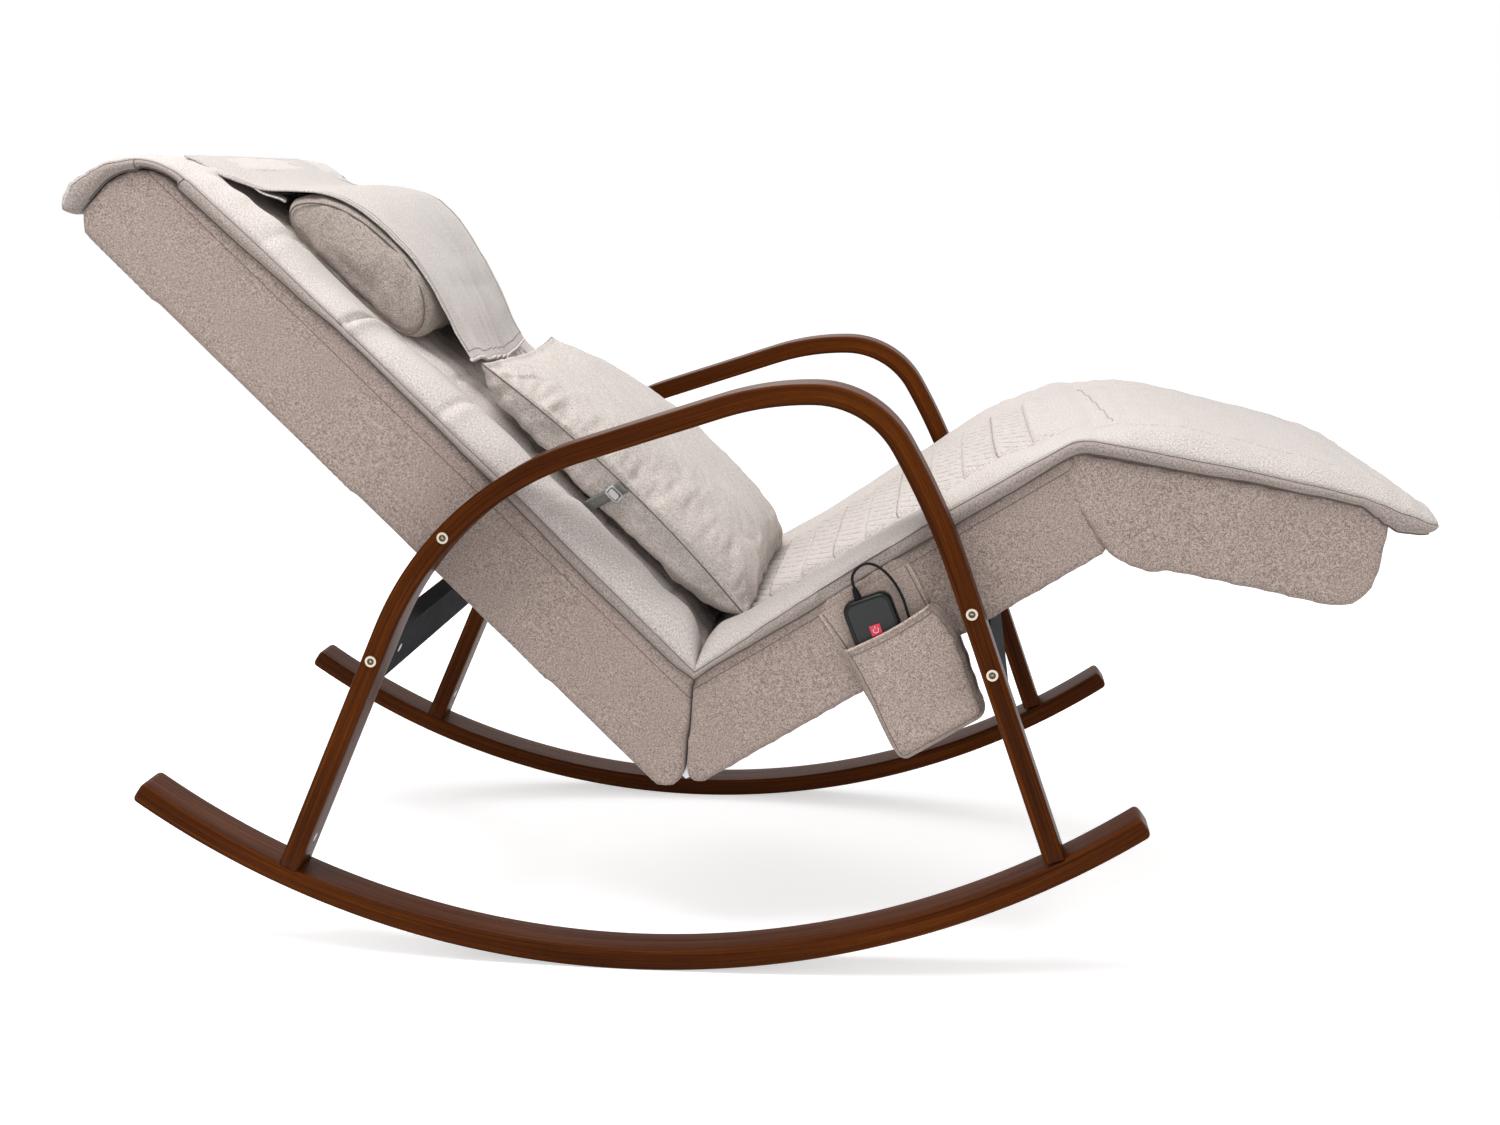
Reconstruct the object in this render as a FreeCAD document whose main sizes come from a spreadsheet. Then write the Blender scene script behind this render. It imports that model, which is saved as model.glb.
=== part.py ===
import FreeCAD, Part
import math
import os
import re
from FreeCAD import Placement, Rotation, Vector

# Bentwood rocking lounger: two hoops on two rockers carry a folded body of back, seat and leg rest.
# Millimetres. X runs from the head end to the leg rest, Y to the sitter's left, Z up.
# The origin is on the floor under the middle of the rockers, where they touch it at rest.

SIZES = {
    # Where the rockers touch the floor, along X from the origin
    "contact_x": -114.5,
    # Side frames of bent wood
    "side_gap": 8.0,
    "strip_width": 52.0,
    "strip_thickness": 22.5,
    "edge_round": 2.5,
    "rocker_radius": 993.0,
    "rocker_thickness": 23.0,
    "rocker_half_angle": 35.0,
    "rocker_end_round": 7.0,
    "rear_foot_x": -389.6,
    "rear_leg_angle": 66.3,
    "rear_leg_run": 304.0,
    "rear_bend_radius": 367.0,
    "rear_bend_angle": 48.3,
    "arm_run": 157.0,
    "arm_crown_radius": 315.0,
    "arm_crown_angle": 18.2,
    "arm_front_radius": 107.0,
    "arm_front_angle": 59.9,
    "front_sweep_radius": 822.0,
    "front_sweep_angle": 10.6,
    "front_leg_run": 329.0,
    "foot_overrun": 40.0,
    # Cross rails between the hoops
    "rail_depth": 62.0,
    "rail_thickness": 20.0,
    "rear_rail_reach": 267.0,
    "front_rail_reach": 219.0,
    # Bolts, barrel nuts, spacers and inserts
    "bolt_diameter": 6.0,
    "bolt_head_diameter": 12.6,
    "bolt_head_height": 2.4,
    "bolt_socket_width": 4.6,
    "bolt_socket_depth": 1.8,
    "bolt_clearance": 0.2,
    "thread_clearance": 0.05,
    "rail_bolt_reach": 32.0,
    "barrel_nut_diameter": 10.0,
    "barrel_nut_length": 15.0,
    "barrel_nut_setback": 26.0,
    "foot_nut_height": 36.0,
    "foot_bolt_sink": 9.0,
    "foot_bolt_tip": 8.0,
    "insert_diameter": 9.0,
    "insert_length": 15.0,
    "spacer_diameter": 20.0,
    "back_bolt_reach": 432.0,
    "seat_bolt_reach": 288.6,
    # Folded body: the crease where back and seat meet, and the knee
    "crease_x": 68.0,
    "crease_z": 326.0,
    "back_angle": 44.2,
    "seat_angle": 32.0,
    "leg_angle": 9.7,
    "body_width": 540.0,
    "back_length": 838.0,
    "back_depth": 124.0,
    "seat_depth": 110.0,
    "leg_length": 318.0,
    "leg_depth": 110.0,
    "knee_along": 482.0,
    "knee_drop": 29.5,
    "pin_drop": 27.0,
    "seat_front_top": 466.0,
    "seat_front_foot": 463.0,
    "slab_start": 6.0,
    "slab_drop": 35.5,
    "leg_well_start": 86.0,
    "surface_drop": 10.0,
    "crease_gap": 1.0,
    "back_crown_round": 60.0,
    "back_heel_round": 25.0,
    "back_crease_round": 22.0,
    "seat_crease_round": 15.0,
    "seat_front_round": 8.0,
    "seam_round": 2.0,
    "leg_end_round": 30.0,
    "cover_wall": 2.5,
    # Timber inside the body
    "board_thickness": 18.0,
    "back_foam_thickness": 45.0,
    "seat_foam_thickness": 25.0,
    "webbing_thickness": 2.0,
    "webbing_width": 50.0,
    "back_webbing_pitch": 88.0,
    "seat_webbing_pitch": 84.0,
    "crease_rail_setback": 120.0,
    "seat_rail_top": 33.0,
    "leg_board_thickness": 12.0,
    "leg_panel_thickness": 6.0,
    "leg_foam_thickness": 11.5,
    "end_margin": 12.0,
    # Crease brackets
    "bracket_arm": 112.0,
    "bracket_width": 34.0,
    "bracket_thickness": 3.0,
    "bracket_drop": 66.0,
    "bracket_bolt_pitch": 46.0,
    "bracket_bolt_bite": 12.0,
    # Knee hinges
    "hinge_offset": 180.0,
    "hinge_knuckle": 20.0,
    "hinge_knuckle_gap": 0.5,
    "hinge_barrel_diameter": 10.0,
    "hinge_pin_diameter": 5.0,
    "hinge_plate": 3.0,
    "hinge_leaf_reach": 36.0,
    # Vibration motors, control box and inlet
    "motor_diameter": 60.0,
    "motor_height": 26.0,
    "motor_offset": 95.0,
    "shoulder_motor_up": 660.0,
    "back_motor_up": 484.0,
    "loin_motor_up": 308.0,
    "control_length": 96.0,
    "control_width": 40.0,
    "control_height": 44.0,
    "control_along": 200.0,
    "inlet_along": 248.0,
    "inlet_diameter": 11.0,
    "inlet_flange": 15.0,
    "inlet_flange_height": 2.0,
    "inlet_length": 12.0,
    "inlet_bore": 5.5,
    "inlet_bore_depth": 9.5,
    # Quilted overlay pad
    "pad_overhang": 2.0,
    "pad_band": 13.0,
    "pad_roll": 36.0,
    "pad_roll_width": 62.0,
    "pad_plain": 24.0,
    "pad_seat_plain": 32.0,
    "pad_knee_plain": 38.0,
    "pad_crease_plain": 20.0,
    "pad_hood_thickness": 19.0,
    "pad_hood_hem": 111.0,
    "pad_leg_length": 361.0,
    "pad_tip_droop": 12.0,
    "channel_depth": 3.0,
    "channel_pitch": 42.0,
    "groove_radius": 6.0,
    "seat_block_pitch": 62.0,
    "leg_channels": 7.0,
    "knee_gap": 2.0,
    "soft_gap": 0.3,
    # Head pillow and its flap
    "pillow_width": 360.0,
    "pillow_foot_up": 483.0,
    "pillow_length": 200.0,
    "pillow_height": 78.0,
    "flap_width": 372.0,
    "flap_thickness": 3.0,
    "flap_clearance": 2.0,
    "flap_tail": 62.0,
    "flap_top_run": 118.0,
    "flap_dip": 1.8,
    # Lumbar pillow, strap and buckle
    "lumbar_foot_up": 20.0,
    "lumbar_length": 392.0,
    "lumbar_width": 430.0,
    "lumbar_middle": 79.0,
    "lumbar_swell": 60.0,
    "lumbar_seam": 6.0,
    "strap_up": 204.0,
    "strap_width": 25.0,
    "strap_thickness": 1.6,
    "buckle_length": 14.0,
    "buckle_width": 32.0,
    "buckle_thickness": 4.0,
    # Side pocket
    "pocket_panel": 2.0,
    "pocket_wall": 2.0,
    "pocket_swell": 21.0,
    "pocket_left": 157.0,
    "pocket_mouth_width": 126.0,
    "pocket_foot_width": 105.0,
    "pocket_mouth_drop": 65.0,
    "pocket_foot_drop": 200.0,
    "pocket_corner": 14.0,
    "pocket_foot_shift": 5.0,
    # Handset
    "handset_x": 256.0,
    "handset_z": 424.0,
    "handset_angle": 21.0,
    "handset_width": 56.0,
    "handset_length": 126.0,
    "handset_half": 7.5,
    "handset_wall": 1.6,
    "handset_corner": 13.0,
    "handset_board": 1.2,
    "key_width": 12.0,
    "key_clearance": 0.25,
    "key_travel": 0.8,
    "key_stop_gap": 0.1,
    "key_proud": 0.7,
    "power_key_drop": 38.0,
    "level_key_drop": 62.0,
    "relief_offset": 7.0,
    "relief_length": 12.0,
    "relief_base": 8.0,
    "relief_tip": 5.0,
    # Handset cord
    "cord_diameter": 3.2,
    "gland_across": 69.7,
    "gland_drop": 61.3,
    "gland_diameter": 9.0,
    "gland_length": 14.0,
    "lead_hole": 8.0,
    # Cuts run past their piece by this much
    "cut_overrun": 5.0,
}

# Shares of the crease bisector, crown and fullness along the soft pieces
crown_turn_shares = (0.25, 0.5, 0.75, 1.0)
roll_full_share = 0.16
roll_rise_share = 0.72
pad_back_up_shares = (0.93, 0.72, 0.48, 0.24)
pad_seat_along_shares = (0.3, 0.62)
pad_leg_along_shares = (0.35, 0.7)
pillow_station_shares = ((-1.0, 0.84), (-0.6, 0.97), (0.0, 1.0), (0.6, 0.97), (1.0, 0.84))
pillow_outline_shares = ((0.0, 0.0), (-0.04, 0.55), (0.3, 1.0), (0.72, 0.92), (1.0, 0.06))
half_way = 1 / 2
flap_outline_shares = ((0.74, 1.02), (0.28, 1.12), (-0.06, 0.72))
flap_step_share = 0.12
flap_tail_share = 0.5
key_rim_share = 0.8
lumbar_fullness_shares = ((-0.5, 0.06), (-0.3, 0.78), (0.0, 1.0), (0.3, 0.78), (0.5, 0.06))
# Cord route in the handset's frame, across and up as shares of its width, chosen by hand
cord_turn_share = 0.45
cord_route_shares = (
    (-0.125, 0.429), (0.071, 0.589), (0.304, 0.607), (0.5, 0.429), (0.643, 0.107), (0.705, -0.286),
    (0.664, -0.75), (0.679, -1.286), (0.657, -1.875), (0.671, -2.482), (-0.179, -2.536), (-0.196, -2.964),
    (0.5, -3.0), (1.143, -2.911), (1.196, -2.321), (1.245, -1.768),
)
gusset_shares = (
    (0.0, 0.36), (0.03, 0.6), (0.42, 0.9), (0.62, 1.0), (0.86, 1.07), (1.0, 1.05), (1.0, 0.36),
)

doc = FreeCAD.newDocument("rocking_lounger")
sheet = doc.addObject("Spreadsheet::Sheet", "sizes")
for row, (alias, value) in enumerate(SIZES.items(), start=1):
    sheet.set("A%d" % row, alias.replace("_", " "))
    sheet.set("B%d" % row, str(value))
    sheet.setAlias("B%d" % row, alias)
doc.recompute()


class Sheet:
    """Reads a named size from the spreadsheet."""

    def __getattr__(self, alias):
        return float(sheet.get(alias))


dim = Sheet()
nodes = []
SQUARE = 90.0
UP = Vector(0, 0, 1)
ACROSS = Vector(0, 1, 0)
SIDES = {"right": -1, "left": 1}


def bind(item, **formulas):
    """Ties properties to the sheet; every alias in a formula holds an underscore."""
    for name, formula in formulas.items():
        item.setExpression(name, re.sub(r"\b([a-z]+(?:_[a-z]+)+)\b", r"sizes.\1", formula))


def keep(item, label):
    """Names a finished sub-part and lists it for export."""
    item.Label = label
    nodes.append(item)
    return item


def pose(frame, x=0, y=0, z=0, turn=None):
    """A place in a frame, with a turn of its own if one is given."""
    return frame.multiply(Placement(Vector(x, y, z), turn or Rotation()))


def box(name, place, length, width, height):
    """A board or block with its lowest corner at the place."""
    item = doc.addObject("Part::Box", name)
    bind(item, Length=length, Width=width, Height=height)
    item.Placement = place
    return item


def rod(name, place, radius, height):
    """A round bar that rises along the place's own Z."""
    item = doc.addObject("Part::Cylinder", name)
    bind(item, Radius=radius, Height=height)
    item.Placement = place
    return item


def join(name, pieces):
    """Several pieces made one."""
    item = doc.addObject("Part::MultiFuse", name)
    item.Shapes = pieces
    return item


def group(name, pieces):
    """Separate solids that share one node."""
    item = doc.addObject("Part::Compound", name)
    item.Links = pieces
    return item


def cut(name, base, tools):
    """A base with tools taken out of it."""
    item = doc.addObject("Part::Cut", name)
    item.Base = base
    item.Tool = tools[0] if len(tools) == 1 else join(name + "_tools", tools)
    return item


def solid(name, shape, place=None):
    """A sub-part whose shape is worked out from the sheet in code."""
    item = doc.addObject("Part::Feature", name)
    item.Shape = shape
    item.Placement = (place or Placement()).multiply(shape.Placement)
    return item


def heading_of(degrees):
    """Unit vector in the XZ plane at an angle above +X."""
    return Vector(math.cos(math.radians(degrees)), 0, math.sin(math.radians(degrees)))


def walk(start, heading, moves, reach=None, offset=0):
    """Edges of a bent path, or with a reach the point and heading that far along it.

    A move is (length,) for a straight run or (radius, turn); a positive turn bends to the right.
    """
    edges = []
    point = start
    for move in moves:
        left = heading_of(heading + 90)
        if len(move) == 1:
            length = move[0]
            if reach is not None and reach <= length:
                return point + heading_of(heading) * reach, heading
            end = point + heading_of(heading) * length
            edges.append(Part.LineSegment(point + left * offset, end + left * offset).toShape())
        else:
            radius, turn = move
            side = math.copysign(1, turn)
            centre = point - left * (side * radius)
            length = radius * math.radians(abs(turn))
            if reach is not None and reach <= length:
                heading -= side * math.degrees(reach / radius)
                return centre + heading_of(heading + 90) * (side * radius), heading
            out = side * radius + offset
            spots = [centre + heading_of(heading - turn * share + 90) * out for share in (0, 0.5, 1)]
            edges.append(Part.Arc(*spots).toShape())
            heading -= turn
            end = centre + heading_of(heading + 90) * (side * radius)
        point = end
        if reach is not None:
            reach -= length
    if reach is not None:
        return point, heading
    return edges


def strip_face(start, heading, moves, thickness, y):
    """Side view of a bent strip of one thickness, as a face across Y."""
    left = walk(start, heading, moves, offset=thickness / 2)
    right = walk(start, heading, moves, offset=-thickness / 2)
    caps = [Part.LineSegment(left[0].Vertexes[0].Point, right[0].Vertexes[0].Point).toShape(),
            Part.LineSegment(left[-1].Vertexes[-1].Point, right[-1].Vertexes[-1].Point).toShape()]
    face = Part.Face(Part.Wire(Part.__sortEdges__(left + right + caps)))
    face.translate(Vector(0, y, 0))
    return face


def outline(corners):
    """Closed wire in the XZ plane through (x, z, round) corners, with tangent arcs."""
    spots = [Vector(x, 0, z) for x, z, size in corners]
    trims = []
    for i, (x, z, size) in enumerate(corners):
        back = (spots[i - 1] - spots[i]).normalize()
        ahead = (spots[(i + 1) % len(spots)] - spots[i]).normalize()
        half = back.getAngle(ahead) / 2
        reach = size / math.tan(half)
        middle = spots[i] + (back + ahead).normalize() * (size / math.sin(half) - size)
        trims.append((spots[i] + back * reach, middle, spots[i] + ahead * reach))
    edges = []
    for i, (enter, middle, leave) in enumerate(trims):
        if corners[i][2]:
            edges.append(Part.Arc(enter, middle, leave).toShape())
        edges.append(Part.LineSegment(leave, trims[(i + 1) % len(trims)][0]).toShape())
    return Part.Wire(edges)


def prism(wire, half_width, middle=0):
    """An XZ outline carried across Y to both sides of its middle."""
    face = Part.Face(wire)
    face.translate(Vector(0, middle - half_width, 0))
    return face.extrude(ACROSS * (2 * half_width))


def side_y(side, distance):
    """Y of a place on the right (-1) or left (1) side."""
    return side * distance


def outward(side):
    """Turn that sends a rod's own Z out of the given side."""
    return Rotation(UP, ACROSS * side)


# Frames of the folded body: x along the part, y across, z out of its sitting surface.
crease = Placement(Vector(dim.contact_x + dim.crease_x, 0, dim.crease_z), Rotation())
back = crease.multiply(Placement(Vector(), Rotation(ACROSS, dim.back_angle)))
seat = crease.multiply(Placement(Vector(), Rotation(ACROSS, -dim.seat_angle)))
knee = seat.multVec(Vector(dim.knee_along, 0, -dim.knee_drop))
leg = Placement(knee, Rotation(ACROSS, dim.leg_angle))
leg = leg.multiply(Placement(Vector(0, 0, dim.pin_drop), Rotation()))
crease_half = (180 - dim.back_angle - dim.seat_angle) / 2
crease_slope = 1 / math.tan(math.radians(crease_half))
body_half = dim.body_width / 2
inner_half = body_half + dim.side_gap
board_outer = body_half - dim.cover_wall
board_inner = board_outer - dim.board_thickness
inlet_y = dim.control_width / 2 - board_inner
pad_half = body_half + dim.pad_overhang


# Bent-wood side frames

rocker_centre = Vector(dim.contact_x, 0, dim.rocker_radius)
rocker_top = dim.rocker_radius - dim.rocker_thickness
rear_foot_z = dim.rocker_radius - math.sqrt(rocker_top ** 2 - dim.rear_foot_x ** 2)
rear_foot = rocker_centre + Vector(dim.rear_foot_x, 0, rear_foot_z - dim.rocker_radius)
hoop_start = rear_foot - heading_of(dim.rear_leg_angle) * dim.foot_overrun
hoop_moves = [
    (dim.rear_leg_run + dim.foot_overrun,),
    (dim.rear_bend_radius, dim.rear_bend_angle),
    (dim.arm_run,),
    (dim.arm_crown_radius, dim.arm_crown_angle),
    (dim.arm_front_radius, dim.arm_front_angle),
    (dim.front_sweep_radius, dim.front_sweep_angle),
    (dim.front_leg_run + dim.foot_overrun,),
]
bends = [move for move in hoop_moves if len(move) == 2]
hoop_length = sum(move[0] for move in hoop_moves if len(move) == 1)
hoop_length += sum(radius * math.radians(turn) for radius, turn in bends)


def hoop_spot(reach, from_front=False):
    """Frame on the hoop's centreline, reach along it from a foot: x along it, z to its outside."""
    along = dim.foot_overrun + reach
    if from_front:
        along = hoop_length - along
    point, heading = walk(hoop_start, dim.rear_leg_angle, hoop_moves, reach=along)
    return Placement(point, Rotation(ACROSS, -heading))


rear_rail_spot = hoop_spot(dim.rear_rail_reach)
front_rail_spot = hoop_spot(dim.front_rail_reach, True)
back_bolt_spot = hoop_spot(dim.back_bolt_reach)
seat_bolt_spot = hoop_spot(dim.seat_bolt_reach, True)
foot_spots = {"rear": (hoop_spot(0), 1), "front": (hoop_spot(0, True), -1)}


def rounded_strip(name, face, end_round):
    """A strip carried across its width, with its long edges eased and its ends rounded."""
    base = solid(name + "_outline", face)
    strip = doc.addObject("Part::Extrusion", name + "_strip")
    strip.Base = base
    strip.DirMode = "Custom"
    strip.Dir = ACROSS
    bind(strip, LengthFwd="strip_width")
    strip.Solid = True
    doc.recompute()
    rounds = []
    for number, edge in enumerate(strip.Shape.Edges, start=1):
        ends = [vertex.Point.y for vertex in edge.Vertexes]
        if abs(ends[0] - ends[-1]) > dim.strip_width / 2:
            if end_round:
                rounds.append((number, end_round, end_round))
        elif edge.Length > 2 * dim.strip_thickness:
            rounds.append((number, dim.edge_round, dim.edge_round))
    eased = doc.addObject("Part::Fillet", name + "_eased")
    eased.Base = strip
    eased.Edges = rounds
    return eased


def side_bolt_hole(name, spot, side):
    """Clearance hole across a hoop's width."""
    place = pose(spot, y=side_y(side, inner_half - dim.cut_overrun), turn=outward(side))
    return rod(name, place, "bolt_diameter / 2 + bolt_clearance", "strip_width + 2 * cut_overrun")


def make_hoop(label, side):
    """One bent hoop: rear leg, arm and front leg, with its feet cut to the rocker."""
    y = side_y(side, inner_half + dim.strip_width / 2) - dim.strip_width / 2
    face = strip_face(hoop_start, dim.rear_leg_angle, hoop_moves, dim.strip_thickness, y)
    strip = rounded_strip(label, face, 0)
    drum = rod(label + "_drum", Placement(rocker_centre + ACROSS * (y - dim.cut_overrun), outward(1)),
               "rocker_radius - rocker_thickness", "strip_width + 2 * cut_overrun")
    fitted = doc.addObject("Part::Common", label + "_fitted")
    fitted.Base = strip
    fitted.Tool = drum
    spots = (rear_rail_spot, front_rail_spot, back_bolt_spot, seat_bolt_spot)
    tools = [side_bolt_hole("%s_hole_%d" % (label, i), spot, side) for i, spot in enumerate(spots)]
    middle = side_y(side, inner_half + dim.strip_width / 2)
    for end, (spot, sense) in foot_spots.items():
        lengthwise = Rotation(UP, Vector(sense, 0, 0))
        tools.append(rod("%s_%s_bore" % (label, end),
                         pose(spot, x=-sense * dim.cut_overrun, y=middle, turn=lengthwise),
                         "bolt_diameter / 2 + bolt_clearance",
                         "cut_overrun + foot_nut_height + foot_bolt_tip"))
        tools.append(rod("%s_%s_nut_hole" % (label, end),
                         pose(spot, x=sense * dim.foot_nut_height, y=middle, z=-dim.strip_thickness / 2,
                              turn=Rotation()),
                         "barrel_nut_diameter / 2 + thread_clearance", "barrel_nut_length"))
    keep(cut(label, fitted, tools), label)


def make_rocker(label, side):
    """One rocker: a circular runner with rounded ends and sunk bolt holes under the feet."""
    y = side_y(side, inner_half + dim.strip_width / 2) - dim.strip_width / 2
    radius = dim.rocker_radius - dim.rocker_thickness / 2
    start = rocker_centre + heading_of(-90 - dim.rocker_half_angle) * radius
    face = strip_face(start, -dim.rocker_half_angle, [(radius, -2 * dim.rocker_half_angle)],
                      dim.rocker_thickness, y)
    strip = rounded_strip(label, face, dim.rocker_end_round)
    middle = side_y(side, inner_half + dim.strip_width / 2)
    tools = []
    for end, (spot, sense) in foot_spots.items():
        lengthwise = Rotation(UP, Vector(sense, 0, 0))
        tools.append(rod("%s_%s_bore" % (label, end),
                         pose(spot, x=-sense * 2 * dim.rocker_thickness, y=middle, turn=lengthwise),
                         "bolt_diameter / 2 + bolt_clearance", "3 * rocker_thickness"))
        tools.append(rod("%s_%s_sink" % (label, end),
                         pose(spot, x=-sense * 2 * dim.rocker_thickness, y=middle, turn=lengthwise),
                         "bolt_head_diameter / 2 + bolt_clearance",
                         "rocker_thickness + foot_bolt_sink"))
    keep(cut(label, strip, tools), label)


def bolt(name, place, length):
    """Socket bolt: its head stands below the place, its shank rises along the place's Z."""
    head = rod(name + "_head", pose(place, z=-dim.bolt_head_height), "bolt_head_diameter / 2",
               "bolt_head_height")
    shank = rod(name + "_shank", place, "bolt_diameter / 2", length)
    socket = doc.addObject("Part::Prism", name + "_socket")
    socket.Polygon = 6
    bind(socket, Circumradius="bolt_socket_width / sqrt(3)", Height="bolt_socket_depth")
    socket.Placement = pose(place, z=-dim.bolt_head_height)
    return cut(name, join(name + "_solid", [head, shank]), [socket])


def barrel_nut(name, place, middle):
    """Cross dowel along the place's Z, tapped across itself at its middle along the place's X."""
    body = rod(name + "_body", place, "barrel_nut_diameter / 2", "barrel_nut_length")
    thread = rod(name + "_thread", pose(place, x=-dim.barrel_nut_diameter, z=middle,
                                        turn=Rotation(UP, Vector(1, 0, 0))),
                 "bolt_diameter / 2 + thread_clearance", "2 * barrel_nut_diameter")
    return cut(name, body, [thread])


def make_rail(label, spot):
    """Board between the hoops, standing along the legs, drilled for bolts and barrel nuts."""
    half = dim.rail_thickness / 2
    base = box(label + "_board", pose(spot, x=-dim.rail_depth / 2, y=-inner_half, z=-half),
               "rail_depth", "body_width + 2 * side_gap", "rail_thickness")
    tools = []
    for side_name, side in SIDES.items():
        name = "%s_%s" % (label, side_name)
        mouth = side_y(side, inner_half + dim.cut_overrun)
        tools.append(rod(name + "_bore", pose(spot, y=mouth, turn=outward(-side)),
                         "bolt_diameter / 2 + bolt_clearance", "rail_bolt_reach + 2 * cut_overrun"))
        nut = side_y(side, inner_half - dim.barrel_nut_setback)
        tools.append(rod(name + "_nut_hole", pose(spot, y=nut, z=-half),
                         "barrel_nut_diameter / 2 + thread_clearance", "barrel_nut_length"))
    keep(cut(label, base, tools), label)


def make_fasteners():
    """Bolts, barrel nuts, spacers and inserts of the side frames."""
    outer = inner_half + dim.strip_width
    rail_bolts, barrel_nuts, foot_bolts, box_bolts, spacers, inserts = [], [], [], [], [], []
    for side_name, side in SIDES.items():
        inward = outward(-side)
        for end, spot in (("rear", rear_rail_spot), ("front", front_rail_spot)):
            name = "%s_%s" % (end, side_name)
            rail_bolts.append(bolt("rail_bolt_" + name, pose(spot, y=side_y(side, outer), turn=inward),
                                   "strip_width + rail_bolt_reach"))
            nut = side_y(side, inner_half - dim.barrel_nut_setback)
            place = pose(spot, y=nut, z=-dim.rail_thickness / 2, turn=Rotation(Vector(1, 0, 0), ACROSS))
            barrel_nuts.append(barrel_nut("rail_nut_" + name, place, dim.rail_thickness / 2))
        middle = side_y(side, inner_half + dim.strip_width / 2)
        for end, (spot, sense) in foot_spots.items():
            name = "%s_%s" % (end, side_name)
            place = pose(spot, x=-sense * (dim.rocker_thickness - dim.foot_bolt_sink), y=middle,
                         turn=Rotation(UP, Vector(sense, 0, 0)))
            foot_bolts.append(bolt("foot_bolt_" + name, place, "rocker_thickness - foot_bolt_sink"
                                   " + foot_nut_height + foot_bolt_tip - bolt_clearance"))
            place = pose(spot, x=sense * dim.foot_nut_height, y=middle, z=-dim.strip_thickness / 2)
            barrel_nuts.append(barrel_nut("foot_nut_" + name, place, dim.strip_thickness / 2))
        for part_name, spot in (("back", back_bolt_spot), ("seat", seat_bolt_spot)):
            name = "%s_%s" % (part_name, side_name)
            box_bolts.append(bolt("box_bolt_" + name, pose(spot, y=side_y(side, outer), turn=inward),
                                  "strip_width + side_gap + cover_wall + insert_length"))
            ring = rod("spacer_ring_" + name, pose(spot, y=side_y(side, body_half), turn=outward(side)),
                       "spacer_diameter / 2", "side_gap")
            hole = rod("spacer_hole_" + name,
                       pose(spot, y=side_y(side, body_half - dim.cut_overrun), turn=outward(side)),
                       "bolt_diameter / 2 + bolt_clearance", "strip_width")
            spacers.append(cut("spacer_" + name, ring, [hole]))
            sleeve = rod("insert_sleeve_" + name, pose(spot, y=side_y(side, board_outer), turn=inward),
                         "insert_diameter / 2", "insert_length")
            thread = rod("insert_thread_" + name,
                         pose(spot, y=side_y(side, board_outer + dim.cut_overrun), turn=inward),
                         "bolt_diameter / 2 + thread_clearance", "insert_length + 2 * cut_overrun")
            inserts.append(cut("insert_" + name, sleeve, [thread]))
    keep(group("rail_bolts", rail_bolts), "rail_bolts")
    keep(group("barrel_nuts", barrel_nuts), "barrel_nuts")
    keep(group("foot_bolts", foot_bolts), "foot_bolts")
    keep(group("box_bolts", box_bolts), "box_bolts")
    keep(group("box_spacers", spacers), "box_spacers")
    keep(group("box_inserts", inserts), "box_inserts")


# Covered boxes of the body

def back_outline(grow=0):
    """Side view of the covered back, its crown at the head end and its mitre at the crease."""
    top = grow - dim.surface_drop
    foot = -dim.back_depth - grow
    inset = grow - dim.crease_gap
    return outline([
        (inset - top * crease_slope, top, dim.seam_round),
        (inset - foot * crease_slope, foot, dim.back_crease_round),
        (-dim.back_length - grow, foot, dim.back_heel_round + grow),
        (-dim.back_length - grow, top, dim.back_crown_round + grow),
    ])


def seat_outline(grow=0):
    """Side view of the covered seat, mitred at the crease and square at the knee."""
    top = grow - dim.surface_drop
    foot = -dim.seat_depth - grow
    inset = grow - dim.crease_gap
    return outline([
        (dim.seat_front_top + grow, top, dim.seam_round),
        (dim.seat_front_foot + grow, foot, dim.seat_front_round + grow),
        (foot * crease_slope - inset, foot, dim.seat_crease_round),
        (top * crease_slope - inset, top, dim.seam_round),
    ])


def leg_outline(grow=0):
    """Side view of the covered leg rest: a slab at the knee that deepens into the box."""
    top = grow - dim.surface_drop
    foot = -dim.leg_depth - grow
    return outline([
        (dim.slab_start - grow, top, dim.seam_round),
        (dim.slab_start - grow, -dim.slab_drop - grow, dim.seam_round),
        (dim.leg_well_start - grow, -dim.slab_drop - grow, dim.seam_round),
        (dim.leg_well_start - grow, foot, dim.seat_front_round + grow),
        (dim.leg_length + grow, foot, dim.leg_end_round + grow),
        (dim.leg_length + grow, top, dim.leg_end_round + grow),
    ])


def make_cover(label, frame, shape_of, holes):
    """Sewn fabric cover: a closed skin of one wall, with holes where metal passes through it."""
    outer = solid(label + "_outer", prism(shape_of(), body_half), frame)
    inner = solid(label + "_inner", prism(shape_of(-dim.cover_wall), board_outer), frame)
    keep(cut(label, outer, [inner] + holes), label)


def through_hole(name, spot, side, radius):
    """Hole through a cover and the board behind it on one side."""
    return rod(name, pose(spot, y=side_y(side, body_half + dim.cut_overrun), turn=outward(-side)), radius,
               "cover_wall + board_thickness + 2 * cut_overrun")


def side_boards(part_name, frame, x, length, foot, height, thickness, drill):
    """The two side boards of a box; drill lists the tools that pass into each one."""
    for side_name, side in SIDES.items():
        label = "%s_side_board_%s" % (part_name, side_name)
        y = -board_outer if side < 0 else board_outer - getattr(dim, thickness)
        board = box(label + "_blank", pose(frame, x=x, y=y, z=foot), length, thickness, height)
        tools = drill(label, side)
        keep(cut(label, board, tools) if tools else board, label)


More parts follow.
